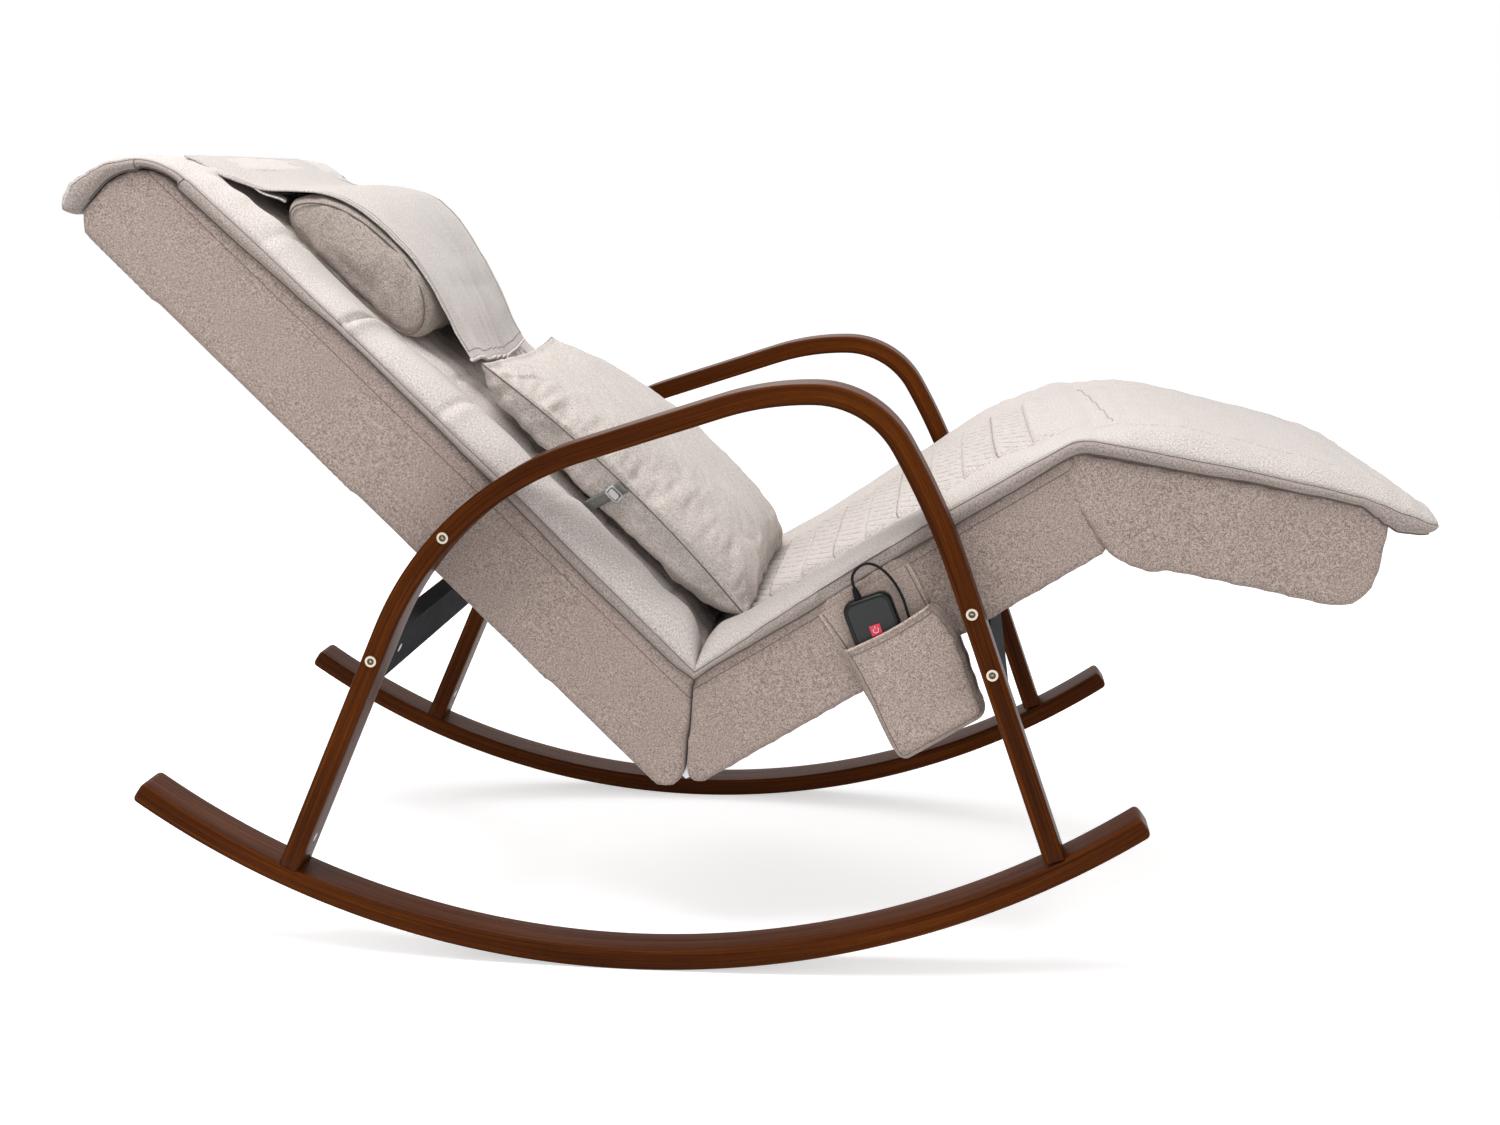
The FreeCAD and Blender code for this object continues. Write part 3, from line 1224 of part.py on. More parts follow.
def make_handset():
    """Wired handset: two case halves, board, two keys and the cord's strain relief."""
    rear = body_half + dim.soft_gap + dim.pocket_panel + dim.soft_gap
    split = rear + dim.handset_half
    front = split + dim.handset_half
    wall = dim.handset_wall
    quarter = dim.handset_half / 2
    shell = prism(handset_outline(), quarter, -(rear + quarter))
    hollow = prism(handset_outline(wall), quarter, -(rear + quarter + wall))
    keep(solid("handset_rear_case", shell.cut(hollow), handset_frame), "handset_rear_case")
    shell = prism(handset_outline(), quarter, -(split + quarter))
    hollow = prism(handset_outline(wall), quarter, -(split + quarter - wall))
    key_tools, keys = [], []
    board_face = split + dim.handset_board / 2
    key_back = board_face + dim.key_travel + dim.key_stop_gap
    half = dim.key_width / 2
    play = dim.key_clearance
    drops = {"handset_power_key": dim.power_key_drop, "handset_level_key": dim.level_key_drop}
    for label, drop in drops.items():
        corner = Vector(-half - play, -front - dim.cut_overrun, -drop - half - play)
        key_tools.append(Part.makeBox(dim.key_width + 2 * play, 2 * dim.handset_half,
                                      dim.key_width + 2 * play, corner))
        depth = front + dim.key_proud - key_back
        corner = Vector(-half, -key_back - depth, -drop - half)
        key = Part.makeBox(dim.key_width, depth, dim.key_width, corner)
        rim = [edge for edge in key.Edges if edge.BoundBox.YMax < -front]
        keys.append((label, key.makeFillet(dim.key_proud * key_rim_share, rim)))
    keep(solid("handset_front_case", shell.cut([hollow] + key_tools), handset_frame), "handset_front_case")
    for label, key in keys:
        keep(solid(label, key, handset_frame), label)
    inset = wall + dim.soft_gap
    board = prism(handset_outline(inset), dim.handset_board / 2, -split)
    keep(solid("handset_board", board, handset_frame), "handset_board")
    cone = Part.makeCone(dim.relief_base / 2, dim.relief_tip / 2, dim.relief_length,
                         Vector(-dim.relief_offset, -split, 0), UP)
    keep(solid("handset_strain_relief", cone, handset_frame), "handset_strain_relief")
    return split


def tube(points, diameter):
    """Round tube along straight runs joined by tangent arcs; prints its radii and its volume."""
    edges, radii = [], []
    last = points[0]
    for before, corner, after in zip(points, points[1:], points[2:]):
        enter = (before - corner)
        leave = (after - corner)
        shorter = min(enter.Length, leave.Length)
        half_turn = (math.pi - enter.getAngle(leave)) / 2
        reach = cord_turn_share * shorter
        radius = reach / math.tan(half_turn)
        radii.append(round(radius, 1))
        enter.normalize()
        leave.normalize()
        a = corner + enter * reach
        b = corner + leave * reach
        bisector = (enter + leave).normalize()
        middle = corner + bisector * (radius / math.cos(half_turn) - radius)
        edges.append(Part.LineSegment(last, a).toShape())
        edges.append(Part.Arc(a, middle, b).toShape())
        last = b
    edges.append(Part.LineSegment(last, points[-1]).toShape())
    path = Part.Wire(edges)
    direction = (points[1] - points[0]).normalize()
    ring = Part.Wire(Part.makeCircle(diameter / 2, points[0], direction))
    pipe = path.makePipeShell([ring], True, False)
    ideal = math.pi * diameter ** 2 / 4 * path.Length
    print("tube length %.1f radii %s volume %.4f" % (path.Length, radii, pipe.Volume / ideal))
    return pipe


def make_cord(split):
    """The handset's cord in its pocket, and its gland through the seat's side to the control box."""
    tip = handset_frame.multVec(Vector(-dim.relief_offset, 0, dim.relief_length))
    down = handset_frame.Rotation.multVec(Vector(0, 0, -1))
    mouth = gland + down * (dim.gland_length / 2)
    middle = -split
    route = [tip]
    for across, up in cord_route_shares:
        route.append(handset_frame.multVec(Vector(across, 0, up) * dim.handset_width))
    route = [Vector(spot.x, middle, spot.z) for spot in route + [mouth]]
    keep(solid("handset_cord", tube(route, dim.cord_diameter)), "handset_cord")
    boss = Part.makeCylinder(dim.gland_diameter / 2, dim.gland_length,
                             Vector(gland.x, middle, gland.z) - down * (dim.gland_length / 2), down)
    stem = Part.makeCylinder(dim.lead_hole / 2 - dim.soft_gap, -middle - board_inner,
                             Vector(gland.x, middle, gland.z), ACROSS)
    keep(solid("cord_gland", boss.fuse(stem).removeSplitter()), "cord_gland")


make_hoop("hoop_right", SIDES["right"])
make_hoop("hoop_left", SIDES["left"])
make_rocker("rocker_right", SIDES["right"])
make_rocker("rocker_left", SIDES["left"])
make_rail("rear_cross_rail", rear_rail_spot)
make_rail("front_cross_rail", front_rail_spot)
make_fasteners()
make_back()
make_seat()
make_leg_rest()
make_brackets()
make_hinges()
make_massage()
make_pads()
make_pillows()
make_pocket()
cord_depth = make_handset()
make_cord(cord_depth)

doc.recompute()
for item in doc.Objects:
    if "Invalid" in item.State or "Error" in item.State:
        raise RuntimeError("%s did not compute: %s" % (item.Name, item.State))
os.makedirs("parts", exist_ok=True)
bad = [item.Label for item in nodes
       if item.Shape.isNull() or not item.Shape.isValid() or item.Shape.Volume <= 0]
if bad:
    raise RuntimeError("no valid shape: %s" % ", ".join(bad))
for item in nodes:
    item.Shape.exportStep("parts/%s.step" % item.Label)
print("%d sub-parts" % len(nodes))
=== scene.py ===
"""Looks of a bentwood rocking lounger with a folding leg rest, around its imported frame."""

import math

import bmesh
import bpy
import numpy as np
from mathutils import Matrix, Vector, kdtree, noise


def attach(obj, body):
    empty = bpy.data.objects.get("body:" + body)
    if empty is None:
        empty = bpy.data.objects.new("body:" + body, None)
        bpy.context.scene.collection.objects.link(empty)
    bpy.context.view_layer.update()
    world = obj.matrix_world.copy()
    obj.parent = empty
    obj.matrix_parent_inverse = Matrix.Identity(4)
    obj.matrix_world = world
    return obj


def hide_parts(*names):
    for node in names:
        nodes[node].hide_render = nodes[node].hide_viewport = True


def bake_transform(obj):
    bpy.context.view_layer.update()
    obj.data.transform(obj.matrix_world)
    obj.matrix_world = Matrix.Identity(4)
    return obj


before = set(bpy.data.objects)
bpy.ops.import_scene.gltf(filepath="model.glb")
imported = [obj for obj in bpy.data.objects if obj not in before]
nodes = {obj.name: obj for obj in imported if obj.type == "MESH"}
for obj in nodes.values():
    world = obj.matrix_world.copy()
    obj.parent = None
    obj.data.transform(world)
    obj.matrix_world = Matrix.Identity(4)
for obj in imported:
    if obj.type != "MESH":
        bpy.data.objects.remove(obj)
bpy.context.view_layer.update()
scene = bpy.context.scene
MM = 0.001
ACROSS = Vector((0, 1, 0))
SIDES = (("right", -1), ("left", 1))


class Place:
    """A plane of the lounger in side view: x along the surface and z out of it, in millimetres."""

    def __init__(self, x, z, angle):
        turn = math.radians(angle)
        self.origin = Vector((x, 0, z))
        self.along = Vector((math.cos(turn), 0, math.sin(turn)))
        self.out = Vector((-math.sin(turn), 0, math.cos(turn)))

    def at(self, x, y, z):
        return (self.origin + self.along * x + self.out * z + ACROSS * y) * MM


# The back's x runs towards the crease, so the head end is at -838; the leg rest's surface is 27 mm over the hinge
BACK_ANGLE, SEAT_ANGLE, LEG_ANGLE = -44.2, 32.0, -9.7
BACK = Place(-46.5, 326.0, BACK_ANGLE)
SEAT = Place(-46.5, 326.0, SEAT_ANGLE)
KNEE = SEAT.at(482.0, 0, -29.5) / MM
LEG = Place(KNEE.x, KNEE.z, LEG_ANGLE)
LEG.origin = LEG.origin + LEG.out * 27.0


def set_all(target, **values):
    for name, value in values.items():
        setattr(target, name, value)


def add_object(name, data):
    item = bpy.data.objects.new(name, data)
    scene.collection.objects.link(item)
    return item


# Camera, solved from the photograph's perspective

camera_data = bpy.data.cameras.new("camera")
set_all(camera_data, lens=44.4, sensor_width=36.0)
camera = add_object("camera", camera_data)
camera.location = (0.2290, -2.2435, 0.8646)
camera.rotation_euler = (math.radians(90 - 11.61), 0, math.radians(6.17))
scene.camera = camera


# Mesh helpers

def add_mesh(name, vertices, faces, smooth=True):
    data = bpy.data.meshes.new(name)
    data.from_pydata([tuple(v) for v in vertices], [], faces)
    data.update()
    data.polygons.foreach_set("use_smooth", [smooth] * len(data.polygons))
    return add_object(name, data)


def grid(name, rows, close_rows=False, close_columns=False):
    """Mesh through rows of points, with UVs in metres along and across."""
    count, width = len(rows), len(rows[0])
    vertices = [p for row in rows for p in row]
    down = [0.0]
    middle = width // 2
    for i in range(1, count + close_rows):
        down.append(down[-1] + (rows[i % count][middle] - rows[i - 1][middle]).length)
    over = [0.0]
    row = rows[count // 2]
    for j in range(1, width + close_columns):
        over.append(over[-1] + (row[j % width] - row[j - 1]).length)
    faces, uvs = [], []
    for i in range(count - 1 + close_rows):
        for j in range(width - 1 + close_columns):
            i2, j2 = (i + 1) % count, (j + 1) % width
            faces.append((i * width + j, i * width + j2, i2 * width + j2, i2 * width + j))
            uvs += [(down[i], over[j]), (down[i], over[j + 1]), (down[i + 1], over[j + 1]),
                    (down[i + 1], over[j])]
    item = add_mesh(name, vertices, faces)
    layer = item.data.uv_layers.new(name="UVMap")
    layer.data.foreach_set("uv", [c for uv in uvs for c in uv])
    return item


def facing_out(item, rings=(), smooth=False):
    """Faces turned outwards, after a new face through each ring of points."""
    made = bmesh.new()
    made.from_mesh(item.data)
    made.verts.ensure_lookup_table()
    for ring in rings:
        made.faces.new([made.verts[i] for i in ring])
    bmesh.ops.recalc_face_normals(made, faces=made.faces)
    for face in made.faces if smooth else ():
        face.smooth = True
    made.to_mesh(item.data)
    made.free()


def cap_ends(item, count, width):
    """Closes a tube of so many rings of width points with a face at each end."""
    facing_out(item, (range(width), range(count * width - 1, (count - 1) * width - 1, -1)))


def apply_modifiers(item):
    graph = bpy.context.evaluated_depsgraph_get()
    data = bpy.data.meshes.new_from_object(item.evaluated_get(graph))
    item.modifiers.clear()
    old = item.data
    item.data = data
    bpy.data.meshes.remove(old)


def modify(item, kind, **values):
    set_all(item.modifiers.new(kind, kind), **values)
    apply_modifiers(item)


def subdivide(item):
    modify(item, "SUBSURF", levels=1, render_levels=1)


def even_out(item, voxel, times):
    """Even mesh of voxels of a size in metres, with its corners relaxed."""
    modify(item, "REMESH", mode="VOXEL", voxel_size=voxel, use_smooth_shade=True)
    modify(item, "SMOOTH", iterations=times, factor=0.5)


def thicken(item, thickness, offset=-1.0):
    modify(item, "SOLIDIFY", thickness=thickness, offset=offset)


def points_of(item, what="co"):
    values = np.empty(len(item.data.vertices) * 3, np.float64)
    item.data.vertices.foreach_get(what, values)
    return values.reshape(-1, 3)


def normals_of(item):
    return points_of(item, "normal")


def move_points(item, co):
    item.data.vertices.foreach_set("co", np.asarray(co, np.float64).ravel())
    item.data.update()


def in_place(place, co):
    """Points as millimetres along, across and out of a place."""
    rel = co / MM - np.array(place.origin)
    return rel @ np.array(place.along), co[:, 1] / MM, rel @ np.array(place.out)


def pushed(co, along, amounts):
    """Points moved along one direction, or each along its own, by amounts in millimetres."""
    return co + np.asarray(along) * (amounts * MM)[:, None]


def noises(co, size, seed):
    """Smooth noise of a wave about size metres long, from -1 to 1."""
    shift = Vector((seed * 17.3, seed * 5.1, seed * 11.7))
    return np.array([noise.noise(Vector(p) / size + shift) for p in co])


def smooth_step(low, high, value):
    t = np.clip((value - low) / (high - low), 0, 1)
    return t * t * (3 - 2 * t)


def linear(table, x):
    """Value at x of a table of (place, value) pairs, in straight runs."""
    return np.interp(x, *zip(*table))


def circle(count):
    return [2 * math.pi * k / count for k in range(count)]


def paint(item, material):
    item.data.materials.clear()
    item.data.materials.append(material)


def dress(item, material, body="frame"):
    paint(item, material)
    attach(item, body)


def rounded_rectangle(left, right, low, high, r, steps):
    """Outline from the right of the top right corner, with so many steps round each corner."""
    corners = ((right - r, high - r, 0), (left + r, high - r, 90), (left + r, low + r, 180), (right - r, low + r, 270))
    return [(x + r * math.cos(a), y + r * math.sin(a)) for x, y, first in corners
            for a in (math.radians(first + 90 * k / steps) for k in range(steps + 1))]


def rounded_path(corners, step):
    """Closed outline through (x, z, radius) corners, in steps of about so many millimetres."""
    spots = []
    count = len(corners)
    for i in range(count):
        here = Vector(corners[i][:2])
        before, after = Vector(corners[i - 1][:2]), Vector(corners[(i + 1) % count][:2])
        a, b = (before - here).normalized(), (after - here).normalized()
        radius = corners[i][2]
        half = a.angle(b) / 2
        if radius < 0.5:
            spots.append(here)
            continue
        centre = here + (a + b).normalized() * (radius / math.sin(half))
        start, end = here + a * (radius / math.tan(half)), here + b * (radius / math.tan(half))
        turns = max(3, int(radius * (math.pi - 2 * half) / step))
        first, last = (start - centre).normalized(), (end - centre).normalized()
        full = first.angle(last)
        for k in range(turns + 1):
            t = k / turns
            mix = first * math.sin((1 - t) * full) + last * math.sin(t * full)
            spots.append(centre + mix.normalized() * radius)
    filled = []
    for i, spot in enumerate(spots):
        nxt = spots[(i + 1) % len(spots)]
        parts = max(1, int((nxt - spot).length / step))
        filled += [spot.lerp(nxt, k / parts) for k in range(parts)]
    return filled


def block(name, place, corners, half, shift=0.0, step=6.0):
    """Prism of an outline in side view, across the lounger."""
    line = rounded_path(corners, step)
    rows = [[place.at(p.x, y, p.y) for p in line] for y in (shift - half, shift + half)]
    item = grid(name, rows, close_columns=True)
    cap_ends(item, 2, len(line))
    return item


# Materials

def new_material(name):
    material = bpy.data.materials.new(name)
    material.use_nodes = True
    tree = material.node_tree
    return material, tree, tree.nodes["Principled BSDF"]


def link(tree, a, b):
    tree.links.new(a, b)


def set_inputs(node, values):
    for name, value in values.items():
        node.inputs[name].default_value = value


def math_node(tree, kind, a, b=None):
    node = tree.nodes.new("ShaderNodeMath")
    node.operation = kind
    for socket, value in zip(node.inputs, (a, b)):
        if isinstance(value, (int, float)):
            socket.default_value = value
        elif value is not None:
            link(tree, value, socket)
    return node.outputs[0]


def plus(tree, a, b):
    return math_node(tree, "ADD", a, b)


def minus(tree, a, b):
    return math_node(tree, "SUBTRACT", a, b)


def times(tree, a, b):
    return math_node(tree, "MULTIPLY", a, b)


def ramp(tree, value, stops):
    node = tree.nodes.new("ShaderNodeValToRGB")
    while len(node.color_ramp.elements) < len(stops):
        node.color_ramp.elements.new(0.5)
    for element, (spot, colour) in zip(node.color_ramp.elements, stops):
        element.position = spot
        element.color = (*colour, 1)
    link(tree, value, node.inputs[0])
    return node.outputs[0]


def mapping(tree, source, kind, value):
    node = tree.nodes.new("ShaderNodeMapping")
    node.inputs[kind].default_value = value
    link(tree, source, node.inputs["Vector"])
    return node.outputs[0]


def turned(tree, source, turn):
    """Coordinates turned about y, in degrees."""
    return mapping(tree, source, "Rotation", (0, math.radians(turn), 0)) if turn else source


def speckle(tree, source, scale, detail, rough=0.6):
    """Noise with its own scale along each axis of the coordinates."""
    node = tree.nodes.new("ShaderNodeTexNoise")
    set_inputs(node, {"Scale": 1.0, "Detail": detail, "Roughness": rough})
    link(tree, mapping(tree, source, "Scale", scale), node.inputs["Vector"])
    return node.outputs[0]


def bump(tree, shader, height, strength, distance):
    node = tree.nodes.new("ShaderNodeBump")
    set_inputs(node, {"Strength": strength, "Distance": distance})
    link(tree, height, node.inputs["Height"])
    link(tree, node.outputs[0], shader.inputs["Normal"])


def blend_colours(tree, factor, a, b):
    node = tree.nodes.new("ShaderNodeMix")
    node.data_type = "RGBA"
    for socket, value in ((node.inputs[0], factor), (node.inputs[6], a), (node.inputs[7], b)):
        if isinstance(value, tuple):
            socket.default_value = (*value, 1)
        else:
            link(tree, value, socket)
    return node.outputs[2]


# how fine the yarns are, by the coordinates that carry them
YARNS = {"Object": ((430, 1050, 1050), (1050, 1050, 430), (1100, 430, 1100)),
         "UV": ((400, 1050, 1050), (1050, 400, 1050), (620, 620, 620))}


def linen(name, dark, middle, light, space="Object", turn=0.0, weave=1.0, seam=None):
    """Slub linen weave: long uneven yarns both ways, with a mottled dye.

    A seam is a line of stitching at a height of the turned coordinates, in metres.
    """
    material, tree, shader = new_material(name)
    where = turned(tree, tree.nodes.new("ShaderNodeTexCoord").outputs[space], turn)
    yarns = [speckle(tree, where, scale, 2.0) for scale in YARNS[space]]
    total = plus(tree, plus(tree, yarns[0], yarns[1]), times(tree, yarns[2], 0.35))
    mottle = speckle(tree, where, (26, 26, 26), 3.0)
    height = plus(tree, times(tree, total, 1 / 2.35), times(tree, minus(tree, mottle, 0.5), 0.035))
    colour = ramp(tree, height, [(0.42, dark), (0.5, middle), (0.58, light)])
    if seam is not None:
        split = tree.nodes.new("ShaderNodeSeparateXYZ")
        link(tree, where, split.inputs[0])
        away = math_node(tree, "ABSOLUTE", minus(tree, split.outputs[2], seam))
        inside = math_node(tree, "LESS_THAN", away, 0.0007)
        colour = blend_colours(tree, times(tree, inside, 0.55), colour, tuple(c * 0.35 for c in dark))
        height = minus(tree, height, times(tree, inside, 1.2))
    link(tree, colour, shader.inputs["Base Color"])
    set_inputs(shader, {"Roughness": 0.92, "Sheen Weight": 0.22, "Sheen Roughness": 0.5, "Specular IOR Level": 0.25})
    bump(tree, shader, height, 0.55 * weave, 0.0011)
    return material


def walnut():
    """Stained beech veneers: fine streaks along the bend and a satin lacquer."""
    material, tree, shader = new_material("walnut")
    where = tree.nodes.new("ShaderNodeTexCoord").outputs["UV"]
    fine = speckle(tree, where, (7, 900, 1), 4.0, 0.65)
    broad = speckle(tree, where, (2.6, 170, 1), 3.0)
    pores = speckle(tree, where, (70, 2300, 1), 1.0, 0.5)
    colour = ramp(tree, plus(tree, times(tree, fine, 0.45), times(tree, broad, 0.55)),
                  [(0.34, (0.020, 0.0045, 0.0006)), (0.47, (0.058, 0.0130, 0.0010)),
                   (0.56, (0.092, 0.0215, 0.0014)), (0.68, (0.150, 0.041, 0.0045))])
    dark = times(tree, math_node(tree, "GREATER_THAN", pores, 0.64), 0.5)
    link(tree, blend_colours(tree, dark, colour, (0.014, 0.004, 0.0015)), shader.inputs["Base Color"])
    link(tree, ramp(tree, fine, [(0.3, (0.46,) * 3), (0.7, (0.34,) * 3)]), shader.inputs["Roughness"])
    shader.inputs["Specular IOR Level"].default_value = 0.055
    bump(tree, shader, minus(tree, fine, dark), 0.25, 0.0004)
    return material


def plain(name, colour, rough, metallic=0.0, grain=250.0, vary=0.12, bumpy=0.06, coat=0.0, shine=0.4):
    """Paint, plastic or metal with a fine surface grain and slight uneven tone."""
    material, tree, shader = new_material(name)
    fine = speckle(tree, tree.nodes.new("ShaderNodeTexCoord").outputs["Object"], (grain,) * 3, 3.0)
    low, high = (tuple(min(1.0, c * (1 + change)) for c in colour) for change in (-vary, vary))
    link(tree, ramp(tree, fine, [(0.35, low), (0.65, high)]), shader.inputs["Base Color"])
    gloss = ramp(tree, fine, [(0.3, (rough * 0.88,) * 3), (0.7, (min(1, rough * 1.12),) * 3)])
    link(tree, gloss, shader.inputs["Roughness"])
    set_inputs(shader, {"Metallic": metallic, "Coat Weight": coat, "Specular IOR Level": shine})
    bump(tree, shader, fine, bumpy, 0.0006)
    return material


def scaled(colours, factor):
    return [tuple(c * factor for c in colour) for colour in colours]


# the side cloth is the pad's linen made darker: painted shade of the boxes' upright faces; the binding and the pouch
# take lighter copies of it
SIDE = ((0.205, 0.158, 0.134), (0.378, 0.296, 0.260), (0.525, 0.432, 0.386))
PAD = ((0.40, 0.350, 0.322), (0.608, 0.552, 0.518), (0.755, 0.70, 0.665))
PILLOW = ((0.335, 0.292, 0.265), (0.555, 0.497, 0.460), (0.70, 0.645, 0.608))
BACK_RISE, SEAT_RISE = (Vector(place.origin).dot(place.out) for place in (BACK, SEAT))

side_back = linen("linen_back", *SIDE, turn=BACK_ANGLE, seam=(BACK_RISE - 22) * MM)
side_seat = linen("linen_seat", *SIDE, turn=SEAT_ANGLE, seam=(SEAT_RISE - 12) * MM)
side_leg = linen("linen_leg", *SIDE, turn=LEG_ANGLE)
pad_linen = linen("linen_quilt", *PAD, space="UV", weave=0.8)
pillow_linen = linen("linen_pillow", *PILLOW, turn=BACK_ANGLE)
# a darker copy of the pillows' linen for the head pillow: painted shade on its upright end under the flap
head_linen_shaded = linen("linen_head_shaded", (0.215, 0.177, 0.155), (0.36, 0.305, 0.272), (0.48, 0.42, 0.38), turn=BACK_ANGLE)
flap_linen = linen("linen_flap", *scaled(PAD, 0.87), space="UV")
binding_linen = linen("linen_binding", *scaled(SIDE, 1.35), turn=SEAT_ANGLE)
pouch_linen = linen("linen_pouch", *scaled(SIDE, 1.10), turn=SEAT_ANGLE)
# stitching in the seat's rib valleys, dark enough to stand in for their shade as well
thread_light = plain("thread_light", (0.36, 0.31, 0.285), 0.9, grain=900)
hem_pale = linen("linen_hem", (0.55, 0.47, 0.44), (0.72, 0.64, 0.61), (0.84, 0.78, 0.75), turn=BACK_ANGLE)
seam_dark = plain("seam_shadow", (0.15, 0.115, 0.10), 0.9, grain=900, vary=0.3)
thread_pale = plain("thread_pale", (0.41, 0.36, 0.33), 0.9, grain=900)
# a darker copy of the pad's linen for the band: painted shade of the band's upright face, which is of the pad's own
# cloth
band_shaded_linen = linen("linen_band_shaded", (0.225, 0.185, 0.165), (0.355, 0.298, 0.27), (0.47, 0.405, 0.375), space="UV",
                   weave=0.8)
thread = plain("thread", (0.19, 0.155, 0.135), 0.8, grain=900)
wood = walnut()
rail_paint = plain("rail_paint", (0.028, 0.030, 0.034), 0.8, grain=60, vary=0.10, shine=0.04)
nickel = plain("nickel", (0.60, 0.52, 0.42), 0.28, metallic=1.0, grain=700, vary=0.06)
# dark rings for the bolts' hex sockets: painted shade of the recesses
dark_metal = plain("dark_metal", (0.06, 0.055, 0.035), 0.5, grain=700)
zinc = plain("zinc", (0.55, 0.56, 0.6), 0.4, metallic=1.0, grain=400)
ply = plain("plywood", (0.52, 0.38, 0.22), 0.7, grain=120, vary=0.2, bumpy=0.2)
foam = plain("foam", (0.8, 0.72, 0.5), 0.95, grain=900, vary=0.1, bumpy=0.5)
web_black = plain("webbing", (0.02, 0.02, 0.022), 0.85, grain=700, vary=0.4, bumpy=0.5)
black_shell = plain("black_shell", (0.006, 0.006, 0.007), 0.32, grain=1200, vary=0.1, bumpy=0.1, shine=0.25)
grey_shell = plain("grey_shell", (0.036, 0.037, 0.037), 0.5, grain=1500, vary=0.1, bumpy=0.12, shine=0.2)
red_key = plain("red_key", (0.72, 0.012, 0.05), 0.25, grain=600, vary=0.06, coat=0.5)
white_key = plain("white_key", (0.75, 0.75, 0.77), 0.3, grain=600, vary=0.04, coat=0.5)
board_green = plain("board_green", (0.02, 0.16, 0.06), 0.5)
rubber = plain("rubber", (0.008, 0.008, 0.008), 0.5, grain=900, vary=0.2, bumpy=0.15, shine=0.15)
strap_grey = plain("strap_grey", (0.17, 0.17, 0.155), 0.8, grain=900, vary=0.35, bumpy=0.5)
buckle_clear = plain("buckle_grey", (0.5, 0.5, 0.5), 0.3, grain=500, vary=0.1, coat=0.4)
motor_steel = plain("motor_steel", (0.3, 0.3, 0.31), 0.45, metallic=1.0)

for material, names in (
        (rail_paint, "rear_cross_rail front_cross_rail"), (nickel, "rail_bolts box_bolts"),
        (zinc, "foot_bolts barrel_nuts box_inserts crease_brackets crease_bracket_bolts "
               "knee_hinge_seat_leaves knee_hinge_leg_leaves knee_hinge_pins"),
        (black_shell, "box_spacers control_box power_inlet handset_rear_case handset_front_case"),
        (ply, "back_side_board_right back_side_board_left back_top_rail back_bottom_rail "
              "seat_side_board_right seat_side_board_left seat_front_rail seat_rear_rail "
              "leg_side_board_right leg_side_board_left leg_end_rail leg_panel"),
        (web_black, "back_webbing seat_webbing"), (foam, "back_foam seat_foam leg_foam"),
        (motor_steel, "massage_motors"), (board_green, "handset_board"), (red_key, "handset_power_key"),
        (white_key, "handset_level_key"), (rubber, "handset_strain_relief cord_gland")):
    for name in names.split():
        for entry in nodes[name].material_slots:
            entry.link = "OBJECT"
            entry.material = material


# Handset and its cord

# the handset's plane: x to its right and z up along it, from the middle of its top
HANDSET = Place(141.5, 424.0, 21.0)
CORD_Y = -280.1
# the cord, from the relief round its loop and behind the pouch to the gland, as (x, z)
ROUTE = (
    (-7.0, 12.0), (-7.0, 24.0), (4.0, 33.0), (17.0, 34.0), (28.0, 24.0), (36.0, 6.0), (39.5, -16.0),
    (37.2, -42.0), (38.0, -72.0), (36.8, -105.0), (37.6, -139.0), (-10.0, -142.0), (-11.0, -166.0),
    (28.0, -168.0), (64.0, -163.0), (67.0, -130.0), (69.7, -99.0), (69.7, -68.3),
)


def nurbs(name, spots):
    data = bpy.data.curves.new(name, "CURVE")
    data.dimensions = "3D"
    spline = data.splines.new("NURBS")
    spline.points.add(len(spots) - 1)
    for point, spot in zip(spline.points, spots):
        point.co = (*spot, 1)
    set_all(spline, order_u=3, use_endpoint_u=True, resolution_u=8)
    return add_object(name, data)


def tube_along(name, path, radius, sides=6, close=False):
    """Round tube through points, with its ends closed."""
    rows = []
    count = len(path)
    for i, spot in enumerate(path):
        before = path[i - 1] if i or close else path[0]
        after = path[(i + 1) % count] if i < count - 1 or close else path[-1]
        run = (after - before).normalized()
        side = run.cross(ACROSS)
        if side.length < 1e-3:
            side = run.cross(Vector((0, 0, 1)))
        side.normalize()
        top = side.cross(run).normalized()
        rows.append([spot + (side * math.cos(a) + top * math.sin(a)) * radius for a in circle(sides)])
    item = grid(name, rows, close_rows=close, close_columns=True)
    if not close:
        cap_ends(item, len(rows), sides)
    else:
        facing_out(item)
    return item


route = nurbs("cord_route", [HANDSET.at(x, CORD_Y, z) for x, z in ROUTE])
line_mesh = bpy.data.meshes.new_from_object(route)
cord_path = [Vector(v.co) for v in line_mesh.vertices]
bpy.data.objects.remove(route)
cord = tube_along("handset_cord_flex", cord_path, 1.6 * MM, 12)
paint(cord, rubber)
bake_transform(cord)
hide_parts("handset_cord")


# Side frames: each hoop stands on its rocker, an arc about a centre above the floor

ROCKER_X, ROCKER_Z, ROCKER_RADIUS, ROCKER_TOP = -114.5, 993.0, 981.5, 970.0
SIDE_FRAME_Y = 304.0


